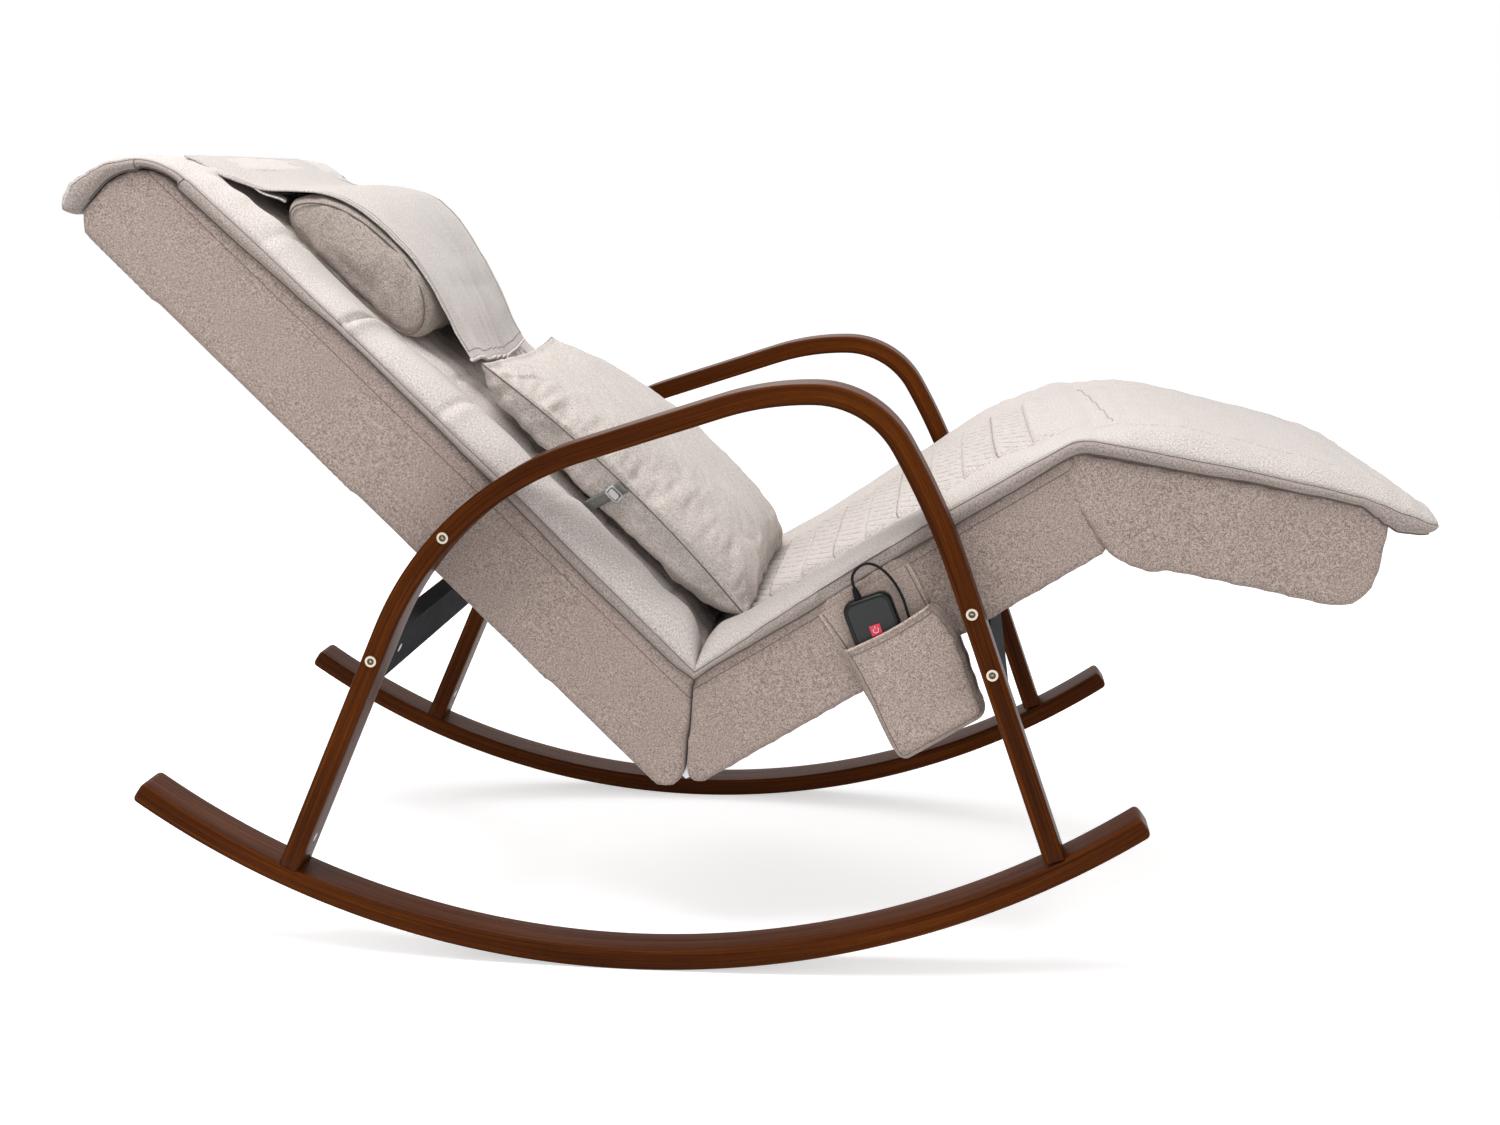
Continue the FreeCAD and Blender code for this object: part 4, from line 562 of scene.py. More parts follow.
def strip(name, path, thick, wide, side, end_round=0.0):
    """Bent strip: path gives (x, z, outward x, outward z, length along) at its middle."""
    total = path[-1][4]
    rows = []
    for x, z, ox, oz, along in path:
        short = max(0.0, end_round - min(along, total - along))
        drop = end_round - math.sqrt(max(0.0, end_round ** 2 - short ** 2))
        half_t, half_w = thick / 2 - drop * 0.8, wide / 2 - drop
        # the outline's flat sides are cut in three, so that its faces stay even
        ring = rounded_rectangle(-half_t, half_t, -half_w, half_w, min(2.6, half_t * 0.6), 3)
        full = []
        for k, (a, b) in enumerate(ring):
            full.append((a, b))
            if k % 4 == 3:
                na, nb = ring[(k + 1) % len(ring)]
                full += [(a + (na - a) * f, b + (nb - b) * f) for f in (0.33, 0.67)]
        rows.append([Vector((x + ox * a, side * SIDE_FRAME_Y + b, z + oz * a)) * MM for a, b in full])
    item = grid(name, rows, close_columns=True)
    cap_ends(item, len(rows), len(rows[0]))
    return item


def hoop_path():
    """Straight runs, by length, and bends, by radius and turn, from the foot at the head end."""
    steps = []
    for length, turn in ((304.0, 0), (367.0, 48.3), (157.0, 0), (315.0, 18.2), (107.0, 59.9), (822.0, 10.6),
                         (329.0, 0)):
        arc = length * math.radians(turn) if turn else length
        count = max(4, int(arc / 8)) if turn else int(length / 14)
        half = turn / count / 2
        steps += [(half, 2 * length * math.sin(math.radians(half)) if turn else arc / count, arc / count)] * count
    foot, heading, along = 389.6, 66.3, 0.0
    x, z = ROCKER_X - foot, ROCKER_Z - math.sqrt(ROCKER_TOP ** 2 - foot ** 2)
    spots = []
    for half, chord, run in [(0.0, 0.0, 0.0)] + steps:
        heading -= half
        x += math.cos(math.radians(heading)) * chord
        z += math.sin(math.radians(heading)) * chord
        heading -= half
        along += run
        turn = math.radians(heading + 90)
        spots.append((x, z, math.cos(turn), math.sin(turn), along))
    return spots


def rocker_path():
    """Arc of 70 degrees in 120 steps, with finer steps where its ends are rounded."""
    spots = []
    for i in range(121):
        turn = math.radians(-90 - 35 + 70 * i / 120)
        spots.append((ROCKER_X + ROCKER_RADIUS * math.cos(turn), ROCKER_Z + ROCKER_RADIUS * math.sin(turn),
                      math.cos(turn), math.sin(turn), ROCKER_RADIUS * math.radians(70) * i / 120))
    fine = [tuple(p + (q - p) * k / 8 for p, q in zip(*pair)) for pair in (spots[:2], spots[-2:]) for k in range(1, 8)]
    return sorted(spots + fine, key=lambda p: p[4])


for side_name, side in SIDES:
    hoop = strip("hoop_%s_bent" % side_name, hoop_path(), 22.5, 52.0, side)
    rocker = strip("rocker_%s_bent" % side_name, rocker_path(), 23.0, 52.0, side, 6.5)
    for piece, node in ((hoop, "hoop_" + side_name), (rocker, "rocker_" + side_name)):
        dress(piece, wood)
        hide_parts(node)


# Upholstered boxes

BOX_HALF = 270


def upholster(item, seed, swell=1.0):
    """Even mesh with softened edges and the slight unevenness of cloth over boards."""
    even_out(item, 0.006, 3)
    co, no = points_of(item), normals_of(item)
    wave = noises(co, 0.16, seed) * 0.7 + noises(co, 0.035, seed + 3) * 0.3
    move_points(item, pushed(co, no, wave * swell + 0.5))


back_box = block("back_cloth", BACK, [(-2, 1, 2), (96.2, -124, 22), (-838, -124, 25), (-838, -10.5, 60),
                                      (-738, -9, 30), (-650, 1, 40)], BOX_HALF)
upholster(back_box, 1)
seat_box = block("seat_cloth", SEAT, [(484, 2, 3), (468, -16, 6), (464, -34, 6), (463, -110, 8),
                                      (-85.2, -110, 15), (1, 2, 2)], BOX_HALF)
upholster(seat_box, 2)
leg_box = block("leg_cloth", LEG, [(-24, -2, 3), (-27, -34, 8), (-3, -60, 6), (15, -82, 8), (38, -104, 8),
                                   (64, -114, 10), (86, -116, 8), (102, -110.5, 14), (200, -112, 30),
                                   (313, -117, 40), (320, -60, 40), (316, -8, 12), (302, 0, 10)], BOX_HALF + 0.5)
upholster(leg_box, 3, 1.1)
# below the knee the loose cloth swells at both sides, and above that it is drawn in
co = points_of(leg_box)
x, y, n = in_place(LEG, co)
nose = linear(((-2, -24), (34, -27), (60, -3), (82, 15), (104, 38)), -n)
side = np.where(np.abs(y) > 262, np.sign(y), 0.0)
upper = smooth_step(-64, -44, n)
swollen = 5.0 * (1 - upper) * np.exp(-((x - nose - 7) / 8.0) ** 2)
drawn_in = 3.0 * upper * smooth_step(14, 2, x - nose)
move_points(leg_box, pushed(co, ACROSS, side * (swollen - drawn_in)))
for piece, material in ((back_box, side_back), (seat_box, side_seat)):
    dress(piece, material)
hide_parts("back_cover")
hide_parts("seat_cover")
paint(leg_box, side_leg)
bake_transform(leg_box)
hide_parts("leg_cover", "knee_gusset")


# Quilted overlay: hood, back, seat, knee and leg in one piece

CREASE_SLOPE = 1 / math.tan(math.radians(51.9))
# the side roll, from its groove to the pad's edge
ROLL_IN, EDGE = 187.0, 276.0
# sections stand on a line this deep under the boxes' faces, and turn over the head end on this radius
CORE, CROWN_RADIUS = 10.0, 60.0
# blocks across the seat, the first of them partly in the crease, and the slanting ribs in each
BLOCK_PITCH = 43.5
FIRST_BLOCK = 57.0 - BLOCK_PITCH
RIB_PITCH, RIB_SLANT = 29.0, 1.45
BACK_LENGTH, SEAT_LENGTH, LEG_LENGTH = 778.0, 478.0, 300.0
# rows of points along each part
HEM_ROWS, CROWN_ROWS, BACK_ROWS, SEAT_ROWS, KNEE_ROWS, LEG_ROWS, TIP_ROWS = 14, 30, 236, 160, 8, 90, 28


def at(stops, x):
    """Value at x on the smooth run through (place, value) stops."""
    xs, vs = [s[0] for s in stops], [s[1] for s in stops]
    if x <= xs[0]:
        return vs[0]
    for i in range(len(xs) - 1):
        if x <= xs[i + 1]:
            t = (x - xs[i]) / (xs[i + 1] - xs[i])
            t = t * t * (3 - 2 * t)
            return vs[i] + (vs[i + 1] - vs[i]) * t
    return vs[-1]


def across():
    """Places across a section, from edge to edge, with the part of the section that each belongs to."""
    spots = [(262.0, "under"), (274.2, "lip"), (277.6, "low"), (279.4, "mid"), (279.6, "high"), (277.8, "top"),
             (273.8, "seam"), (275.6, "over")]
    spots += [(274.6 - (274.6 - ROLL_IN - 3) * (k / 24) ** 1.2, "roll") for k in range(1, 25)]
    spots += [(ROLL_IN + 1.5, "roll"), (ROLL_IN, "groove"), (ROLL_IN - 1.5, "inner")]
    spots += [(ROLL_IN - 3 - (ROLL_IN - 3) * k / 50, "inner") for k in range(1, 51)]
    return [(-y, kind) for y, kind in spots] + spots[-2::-1]


ACROSS_SPOTS = across()
# share of the height from lip to seam
BAND = {"under": 0.0, "lip": 0.0, "low": 0.16, "mid": 0.42, "high": 0.68, "top": 0.90, "seam": 0.96, "over": 1.10}
SEAM_COLUMN = [kind for _, kind in ACROSS_SPOTS].index("seam")
COLUMNS = len(ACROSS_SPOTS)


def section(peak, valley, crown, pattern, lip, seam, fall=1.0, inner_fall=1.0, steep=0.8):
    """Height over the box for each place across; the pattern adds its relief to the inner field."""
    out = []
    base = seam + 1.5
    for y, kind in ACROSS_SPOTS:
        ay = abs(y)
        if kind in BAND:
            out.append((y, lip + (seam - lip) * BAND[kind]))
            continue
        if kind == "roll":
            a = (EDGE - ay) / (EDGE - ROLL_IN)
            if a < 0.42:
                n = base + (peak - base) * (1 - (1 - a / 0.42) ** 2.5) ** steep
            else:
                n = valley + (peak - valley) * (0.5 + 0.5 * math.cos(math.pi * (a - 0.42) / 0.58))
        elif kind == "groove":
            n = valley - 2.4
        else:
            t = ay / ROLL_IN
            n = valley + (crown - valley) * (1 - t ** 4) + pattern(y)
        out.append((y, base + (n - base) * (fall if kind == "roll" else inner_fall)))
    return out


def flat_field(y):
    return 0.0


def back_ribs(s):
    """Lengthwise ribs of the back, wandering a little and drawn in at rows of stitching."""
    def height(y):
        wander = 5.0 * math.sin(s / 61.0) + 3.0 * math.sin(s / 27.0 + y / 50.0) + 1.2 * math.sin(s / 9.0 + y / 21.0)
        rib = abs(math.cos(math.pi * (y + wander) / 33.0)) ** 0.5 * smooth_step(735, 690, s)
        row = math.exp(-(((s - 12) % 118.0 - 59.0) / 6.0) ** 2)
        edge = smooth_step(0, 12, ROLL_IN - abs(y))
        return (9.0 * rib - 6.0 - 3.0 * row) * edge
    return height


def field_edge(s):
    """Half width of the stepped field of the seat, a sawtooth from block to block."""
    return 170.0 + 9.0 * (((s - FIRST_BLOCK) / BLOCK_PITCH) % 1.0)


def rib_wave(s, y):
    return 1.5 * math.sin(s / 13.0 + y / 19.0)


def seat_blocks(s):
    """Lapped blocks across the seat, each with fine slanting ribs."""
    part = ((s - FIRST_BLOCK) / BLOCK_PITCH) % 1.0
    away = min(part, 1 - part) * BLOCK_PITCH
    far = field_edge(s)

    def height(y):
        inside = smooth_step(0, 5, far - abs(y)) * smooth_step(30, 50, s)
        fine = abs(math.cos(math.pi * (y + RIB_SLANT * part * BLOCK_PITCH + rib_wave(s, y)) / RIB_PITCH)) ** 0.45
        lap = 4.2 * (1 - part) ** 1.5
        return inside * (3.4 * fine + lap - 2.0 - 3.2 * math.exp(-(away / 2.0) ** 2)) \
            - 2.6 * math.exp(-((abs(y) - far) / 2.6) ** 2)
    return height


def leg_ribs(fade):
    """Low, wide ribs along the leg rest."""
    def height(y):
        return (1.8 * abs(math.cos(math.pi * y / 66.0)) ** 0.4 - 1.2) * fade
    return height


def drawn_shut(open_, middle, peak, valley, crown, pattern, lip, seam, steep):
    """Section drawn together at its middle height: fully open at 1, shut at 0."""
    peak, valley, crown, lip, seam = (middle + (n - middle) * open_ for n in (peak, valley, crown, lip, seam))
    return section(peak, valley, crown, pattern, lip, seam, steep=steep)


def crease_fall(d):
    """How much of its height the pad has at d from the crease."""
    return 0.24 + 0.76 * math.sqrt(max(0.0, 1 - (1 - min(1.0, d / 34.0)) ** 2))


def row_on(place, x, heights, z=-CORE, out_x=0.0, out_z=1.0, shift=0.0):
    """Row of points at (x, z) of a place, with their heights along a direction out of it."""
    return [place.at(x + out_x * (n + CORE) + shift * max(0.0, n), y, z + out_z * (n + CORE)) for y, n in heights]


def hood_rows():
    """Hem up the head end, its closed edge rounded and drawn up at the corners, then the crown."""
    rows = []
    hem_x = -BACK_LENGTH - CROWN_RADIUS - CORE
    for k in range(HEM_ROWS):
        z = -130 + 60 * k / HEM_ROWS
        open_ = math.sqrt(max(0.0, 1 - (1 - min(1.0, (k + 0.35) / 3.5)) ** 2))
        lip, seam = -9.0, at(((-130, 7), (-115, 11), (-98, 15), (-84, 13), (-70, 9.5)), z)
        top = at(((-130, 19.5), (-108, 21.5), (-70, 13.5)), z)
        heights = drawn_shut(open_, 0.5 * (lip + top), top, top - 2, top + 1, flat_field, lip, seam, 0.6)
        draw_up = 13 * (1 - k / HEM_ROWS)
        rows.append([BACK.at(hem_x - n, y, z + draw_up * smooth_step(225, EDGE, abs(y))) for y, n in heights])
    for k in range(CROWN_ROWS + 1):
        turn = 180 - 90 * k / CROWN_ROWS
        out_x, out_z = math.cos(math.radians(turn)), math.sin(math.radians(turn))
        peak = at(((90, 12), (108, 8), (125, 6.5), (147, 6.5), (169, 10.5), (180, 13.5)), turn)
        lip = -9.0 if turn > 132 else at(((90, -4.5), (132, -6)), turn)
        seam = at(((90, 2.5), (108, 0.5), (147, 1), (169, 6), (180, 9.5)), turn)
        heights = section(peak, peak - 2.5, peak + 1.0, flat_field, lip, seam)
        rows.append(row_on(BACK, -BACK_LENGTH + CROWN_RADIUS * out_x, heights, CROWN_RADIUS * (out_z - 1) - CORE,
                           out_x, out_z))
    return rows


def back_rows():
    """Down the back to the crease; d is the way from the crease."""
    rows = []
    for k in range(1, BACK_ROWS + 1):
        d = BACK_LENGTH * (1 - k / BACK_ROWS)
        peak = at(((0, 42), (56, 42), (101, 38), (133, 42), (191, 43), (265, 38), (368, 40), (430, 36), (480, 32),
                   (520, 25), (599, 23), (637, 26), (680, 33), (719, 27), (750, 19), (778, 12)), d)
        swell = 1.1 * math.sin(d / 37.0) + 0.8 * math.sin(d / 17.0 + 1)
        valley = at(((0, 18), (60, 25), (430, 27), (520, 19), (640, 19), (700, 12), (778, 8)), d)
        crown = valley + 5 - 3 * smooth_step(650, 710, d)
        lip = at(((0, -2), (30, -6), (137, -6), (300, -1), (440, 1), (545, 1), (600, -3), (700, -7), (766, -9),
                  (778, -9)), d)
        seam = at(((0, 5), (150, 6), (300, 8), (560, 7.5), (650, 7), (766, 4.5), (778, 2.5)), d)
        fall = crease_fall(d)
        heights = section(peak + swell, valley, crown, back_ribs(d), lip, seam, fall, max(fall, 0.8))
        rows.append(row_on(BACK, -d, heights, shift=-CREASE_SLOPE * (1 - smooth_step(0, 110, d))))
    return rows


def seat_rows():
    """From the crease to the knee; d is the way from the crease."""
    rows = []
    for k in range(SEAT_ROWS + 1):
        d = SEAT_LENGTH * k / SEAT_ROWS
        peak = at(((0, 30), (30, 32), (87, 29), (150, 26), (194, 27), (300, 29), (345, 32), (400, 33), (425, 31),
                   (451, 25), (478, 19)), d)
        swell = 0.8 * math.sin(d / 41.0 + 2) + 0.5 * math.sin(d / 19.0)
        valley = at(((0, 12), (60, 19), (150, 20), (400, 24), (478, 16)), d)
        crown = at(((0, 18), (60, 23), (150, 24), (300, 27), (400, 29), (440, 26), (478, 19)), d)
        lip = at(((0, -2), (25, -1), (214, 0.5), (311, 1), (403, 0), (478, 0)), d) + 0.6 * math.sin(d / 33.0)
        seam = at(((0, 5), (31, 6), (65, 8), (107, 11), (151, 13), (256, 15), (330, 17), (412, 15.5), (478, 13.5)), d)
        fall = crease_fall(d)
        heights = section(peak + swell, valley, crown, seat_blocks(d), lip, seam, fall, max(fall, 0.8))
        rows.append(row_on(SEAT, d, heights, shift=CREASE_SLOPE * (1 - smooth_step(0, 110, d))))
    return rows


def knee_rows():
    """Over the knee, along a curve drawn towards a point just past the seat."""
    rows = []
    first, bend, last = (spot / MM for spot in (SEAT.at(SEAT_LENGTH, 0, -CORE), SEAT.at(SEAT_LENGTH + 7.7, 0, -CORE),
                                                LEG.at(0, 0, -CORE)))
    for k in range(1, KNEE_ROWS + 1):
        t = k / (KNEE_ROWS + 1)
        base = first * (1 - t) ** 2 + bend * (2 * t * (1 - t)) + last * t ** 2
        lean = math.radians(SEAT_ANGLE + (LEG_ANGLE - SEAT_ANGLE) * t)
        up = Vector((-math.sin(lean), 0, math.cos(lean)))
        heights = section(19 + 1.5 * t, 16 + 2 * t, 19 + 1.5 * t, flat_field, 0, 13.5)
        rows.append([(base + up * (n + CORE) + ACROSS * y) * MM for y, n in heights])
    return rows


def leg_rows():
    """Along the leg rest, then its tip, closed with a rounded end; d is the way from the knee."""
    rows = []
    for k in range(LEG_ROWS + 1):
        d = LEG_LENGTH * k / LEG_ROWS
        peak = at(((0, 20.5), (14, 25.5), (35, 32), (60, 36.5), (95, 38.5), (130, 37), (170, 34.5), (215, 31),
                   (257, 28.5), (300, 22.5)), d)
        valley = at(((0, 18), (35, 28), (95, 35), (140, 33), (220, 28), (300, 20)), d)
        lip = at(((0, 0), (140, 0), (240, 0), (280, -3), (308, -14)), d) + 0.7 * math.sin(d / 21.0)
        seam = at(((0, 13.5), (138, 12.5), (230, 9), (279, 6), (308, 2)), d)
        rows.append(row_on(LEG, d, section(peak, valley, peak + 0.5, leg_ribs(smooth_step(20, 70, d)), lip, seam)))
    for k in range(1, TIP_ROWS + 1):
        d = LEG_LENGTH + 64 * math.sin(math.pi / 2 * k / TIP_ROWS)
        open_ = max(0.0, 1 - max(0.0, (d - 350) / 14.05) ** 3) ** 0.36
        top = at(((300, 22.5), (330, 16), (352, 7.5), (364, 2)), d)
        lip = at(((300, -10), (312, -17), (327, -22), (345, -21), (364, -18)), d)
        seam = at(((300, 3), (330, -3), (364, -9)), d)
        rows.append(row_on(LEG, d, drawn_shut(open_, -7.5, top, top - 2, top + 0.5, leg_ribs(smooth_step(345, 310, d)),
                                              lip, seam, 0.8 - 0.3 * smooth_step(300, 345, d))))
    return rows


pad_rows = hood_rows() + back_rows() + seat_rows() + knee_rows() + leg_rows()
pad = grid("quilted_pad", pad_rows)
# an underside and two end faces close it
starts = range(0, len(pad_rows) * COLUMNS, COLUMNS)
facing_out(pad, [(a, b, b + COLUMNS - 1, a + COLUMNS - 1) for a, b in zip(starts, starts[1:])]
           + [range(a, a + COLUMNS) for a in (starts[0], starts[-1])], smooth=True)
co, no = points_of(pad), normals_of(pad)
soft = noises(co, 0.05, 11) * 0.7 + noises(co, 0.021, 12) * 0.35 + noises(co, 0.16, 13) * 0.6
x, y, n = in_place(BACK, co)
# pleats over the side rolls: place along the back, depth and reach
on_roll = smooth_step(184, 205, np.abs(y)) * (1 - smooth_step(270, 278, np.abs(y))) * (n > 2)
for spot, deep, reach in ((-546, 8.0, 4.0), (-402, 3.5, 5.0), (-250, 2.0, 6.0), (-668, 2.0, 6.0)):
    off = x - spot - 0.2 * (EDGE - np.abs(y))
    soft -= on_roll * deep * (np.exp(-(off / reach) ** 2) - 0.45 * np.exp(-((off - 2.6 * reach) / (1.6 * reach)) ** 2))
# two low places of the far roll
far_roll = smooth_step(180, 225, y) * (n > 2)
for spot, deep, reach in ((-435, 11, 55.0), (-738, 12, 42.0)):
    soft -= far_roll * deep * np.exp(-((x - spot) / reach) ** 2)
co = pushed(co, no, soft)
# pressed in behind the handset, which passes here when it is lifted
s, y, n = in_place(SEAT, co)
behind = smooth_step(158, 176, s) * smooth_step(274, 256, s) * (n > -30)
co[:, 1] += behind * np.maximum(0.0, -y - 270.3) * MM
move_points(pad, co)
pad_points = [[Vector(p) for p in row] for row in co.reshape(-1, COLUMNS, 3)]
paint(pad, pad_linen)
# the band's faces take the darker copy: painted shade on the upright band
pad.data.materials.append(band_shaded_linen)
for face in pad.data.polygons:
    if all(min(i % COLUMNS, COLUMNS - 1 - i % COLUMNS) <= SEAM_COLUMN for i in face.vertices):
        face.material_index = 1
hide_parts("body_pad", "leg_pad")


def over_knee(item):
    """Bakes the piece's place into its mesh."""
    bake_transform(item)


over_knee(pad)


def sewn(name, path, radius, material, body="frame", close=False):
    """Line of thread or welt along a path; without a body its place is baked into its mesh."""
    item = tube_along(name, path, radius * MM, close=close)
    paint(item, material)
    if body:
        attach(item, body)
    else:
        over_knee(item)
    return item


LIP_COLUMN = SEAM_COLUMN - 5
for side_name, sign, seam_at, lip_at in (("right", -1, SEAM_COLUMN, LIP_COLUMN),
                                         ("left", 1, COLUMNS - 1 - SEAM_COLUMN, COLUMNS - 1 - LIP_COLUMN)):
    sewn("pad_seam_" + side_name, [row[seam_at] for row in pad_points[2:-2]], 0.75, seam_dark, None)
    path = [row[lip_at] + (row[lip_at] - row[seam_at]).normalized() * (0.8 * MM) - ACROSS * (sign * 2.4 * MM)
            for row in pad_points[8:-8]]
    sewn("pad_shade_" + side_name, path, 1.3, seam_dark, None)
    for k, row in enumerate((HEM_ROWS + CROWN_ROWS // 2, HEM_ROWS + CROWN_ROWS + 1)):
        path = [pad_points[row][seam_at - sign * step] for step in range(-5, 1)]
        sewn("pad_pleat_%s_%d" % (side_name, k), path, 0.8, seam_dark)
SEAT_START = HEM_ROWS + CROWN_ROWS + 1 + BACK_ROWS
LEG_START = SEAT_START + SEAT_ROWS + 1 + KNEE_ROWS
lines = [FIRST_BLOCK + BLOCK_PITCH * k for k in range(1, 11)]
for k, d in enumerate(lines):
    row = pad_points[SEAT_START + min(SEAT_ROWS, round(d / SEAT_LENGTH * SEAT_ROWS))]
    path = [point for point, (y, _) in zip(row, ACROSS_SPOTS) if abs(y) < field_edge(d + 0.5)]
    sewn("block_line_%d" % k, path, 1.1, thread_pale)


def on_seat(s, y):
    """Point of the pad's face at s along the seat and y across it."""
    place = min(float(SEAT_ROWS), s / SEAT_LENGTH * SEAT_ROWS)
    low = min(SEAT_ROWS - 1, int(place))
    spots = [spot for spot, _ in ACROSS_SPOTS]
    j = int(np.searchsorted(spots, y)) - 1
    t = (y - spots[j]) / (spots[j + 1] - spots[j])
    a, b = (row[j].lerp(row[j + 1], t) for row in pad_points[SEAT_START + low:SEAT_START + low + 2])
    return a.lerp(b, place - low)


# threads along the slanting ribs' valleys of each block: stitching, darker than the pad so that they also paint the
# valleys' shade
ribs = bmesh.new()
for d in lines[:-1]:
    for m in range(-6, 11):
        path = []
        for k in range(9):
            part = 0.06 + 0.88 * k / 8
            s = d + BLOCK_PITCH * part
            y = RIB_PITCH * (m + 0.5) - RIB_SLANT * part * BLOCK_PITCH
            y -= rib_wave(s, y)
            if abs(y) < field_edge(s) - 3 and s < SEAT_LENGTH:
                path.append(on_seat(s, y))
        if len(path) > 2:
            line = tube_along("rib", path, 0.75 * MM, 4)
            ribs.from_mesh(line.data)
            bpy.data.objects.remove(line)
mesh = bpy.data.meshes.new("block_ribs")
ribs.to_mesh(mesh)
ribs.free()
dress(add_object("block_ribs", mesh), thread_light)
path = [pad_points[LEG_START + round(4.5 - y / 75.0)][j] for j, (y, _) in enumerate(ACROSS_SPOTS) if abs(y) < 172]
sewn("block_line_knee", path, 0.8, thread_pale, None)
for side_name, sign in SIDES:
    path = []
    for i in range(round(57 / SEAT_LENGTH * SEAT_ROWS), SEAT_ROWS + 1):
        want = sign * field_edge(i / SEAT_ROWS * SEAT_LENGTH)
        j = min(range(COLUMNS), key=lambda c: abs(ACROSS_SPOTS[c][0] - want))
        path.append(pad_points[SEAT_START + i][j])
    sewn("block_edge_" + side_name, path, 0.8, thread_pale)


# Cloth

def inflate(item, pressure, cap, pinned=()):
    """Cloth under pressure, with each point's move held to a cap in metres."""
    frames = 20
    before = points_of(item)
    step = item.modifiers.new("cloth", "CLOTH")
    settings = step.settings
    set_all(settings, quality=5, mass=0.25, tension_stiffness=18, compression_stiffness=18, shear_stiffness=6,
            bending_stiffness=0.35, air_damping=2, use_pressure=True, uniform_pressure_force=pressure, shrink_min=0.0)
    settings.effector_weights.gravity = 0
    if pinned:
        group = item.vertex_groups.new(name="pin")
        group.add(pinned, 1.0, "REPLACE")
        settings.vertex_group_mass = "pin"
    step.collision_settings.use_collision = False
    set_all(step.point_cache, frame_start=1, frame_end=frames)
    for k in range(1, frames + 1):
        scene.frame_set(k)
    apply_modifiers(item)
    scene.frame_set(1)
    move = points_of(item) - before
    far = np.linalg.norm(move, axis=1)
    scale = np.where(far > cap, cap / np.maximum(far, 1e-9), 1.0)
    move_points(item, before + move * scale[:, None])


# Lumbar pillow

# its ends along the back, and its half width
LUMBAR_END, LUMBAR_HEAD, LUMBAR_HALF = -1.0, -414.0, 216.0


def lumbar_rim(a, b):
    """Place of the seam's plane over the back, in millimetres, for a and b from -1 to 1."""
    middle, half = 0.5 * (LUMBAR_END + LUMBAR_HEAD), 0.5 * (LUMBAR_END - LUMBAR_HEAD)
    x = middle + half * a * (1 - 0.035 * (1 - b * b) * abs(a) ** 5)
    y = LUMBAR_HALF * b * (1 - 0.035 * (1 - a * a) * abs(b) ** 5)
    head = max(0.0, -a)
    far_corner = head ** 2 * max(0.0, b) ** 2
    n = 75 + 12 * (1 - a * a) * b * b + 2.0 * a - 6 * (1 - b * b) * head ** 4 - 14 * far_corner
    return x - 6 * far_corner, y, n


def closer_to_ends(t):
    """From -1 to 1 as t goes from 0 to 1, in steps that are finer at both ends."""
    return 0.5 * math.sin(math.pi * (t - 0.5)) + t - 0.5


def lumbar():
    """Square pillow with a knife edge: steep sides below its seam, and fuller towards the seat.

    It returns the mesh and the indices of its seam's points, in order.
    """
    count_a, count_b = 104, 108
    vertices, index, faces = [], {}, []
    for layer in (1, -1):
        for i in range(count_a + 1):
            a = closer_to_ends(i / count_a)
            for j in range(count_b + 1):
                b = closer_to_ends(j / count_b)
                edge = i in (0, count_a) or j in (0, count_b)
                if edge and layer < 0:
                    index[(layer, i, j)] = index[(1, i, j)]
                    continue
                x, y, rim = lumbar_rim(a, b)
                if layer > 0:
                    full = (1 - abs(a) ** (4.2 if a > 0 else 3.4)) ** 0.62 * (1 - abs(b) ** 3.2) ** 0.66
                    n = rim + (64 + 7 * a - 9 * smooth_step(-0.1, -0.6, a)) * full
                else:
                    full = (1 - abs(a) ** 6) ** 0.55 * (1 - abs(b) ** 9) ** 0.5
                    n = rim + (31 - rim) * full
                index[(layer, i, j)] = len(vertices)
                vertices.append(BACK.at(x, y, n))
        for i in range(count_a):
            for j in range(count_b):
                quad = [index[(layer, i, j)], index[(layer, i, j + 1)], index[(layer, i + 1, j + 1)],
                        index[(layer, i + 1, j)]]
                faces.append(quad if layer < 0 else quad[::-1])
    item = add_mesh("lumbar_cushion", vertices, faces)
    facing_out(item)
    around = [(i, 0) for i in range(count_a)] + [(count_a, j) for j in range(count_b)] \
        + [(i, count_b) for i in range(count_a, 0, -1)] + [(0, j) for j in range(count_b, 0, -1)]
    return item, [index[(1, i, j)] for i, j in around]


cushion, rim_order = lumbar()
inflate(cushion, 3.0, 0.007, rim_order)
# flat where it would sink into the pad
co = points_of(cushion)
move_points(cushion, pushed(co, BACK.out, np.maximum(31.0 - in_place(BACK, co)[2], 0.0)))
subdivide(cushion)
co, no = points_of(cushion), normals_of(cushion)
x, y, n = in_place(BACK, co)
to_side, to_end = LUMBAR_HALF - np.abs(y), np.minimum(x - LUMBAR_HEAD, LUMBAR_END - x)
# distance of every point from the seam
seam_tree = kdtree.KDTree(len(rim_order))
for k, spot in enumerate(co[rim_order]):
    seam_tree.insert(spot, k)
seam_tree.balance()
edge = np.array([seam_tree.find(spot)[2] for spot in co]) / MM
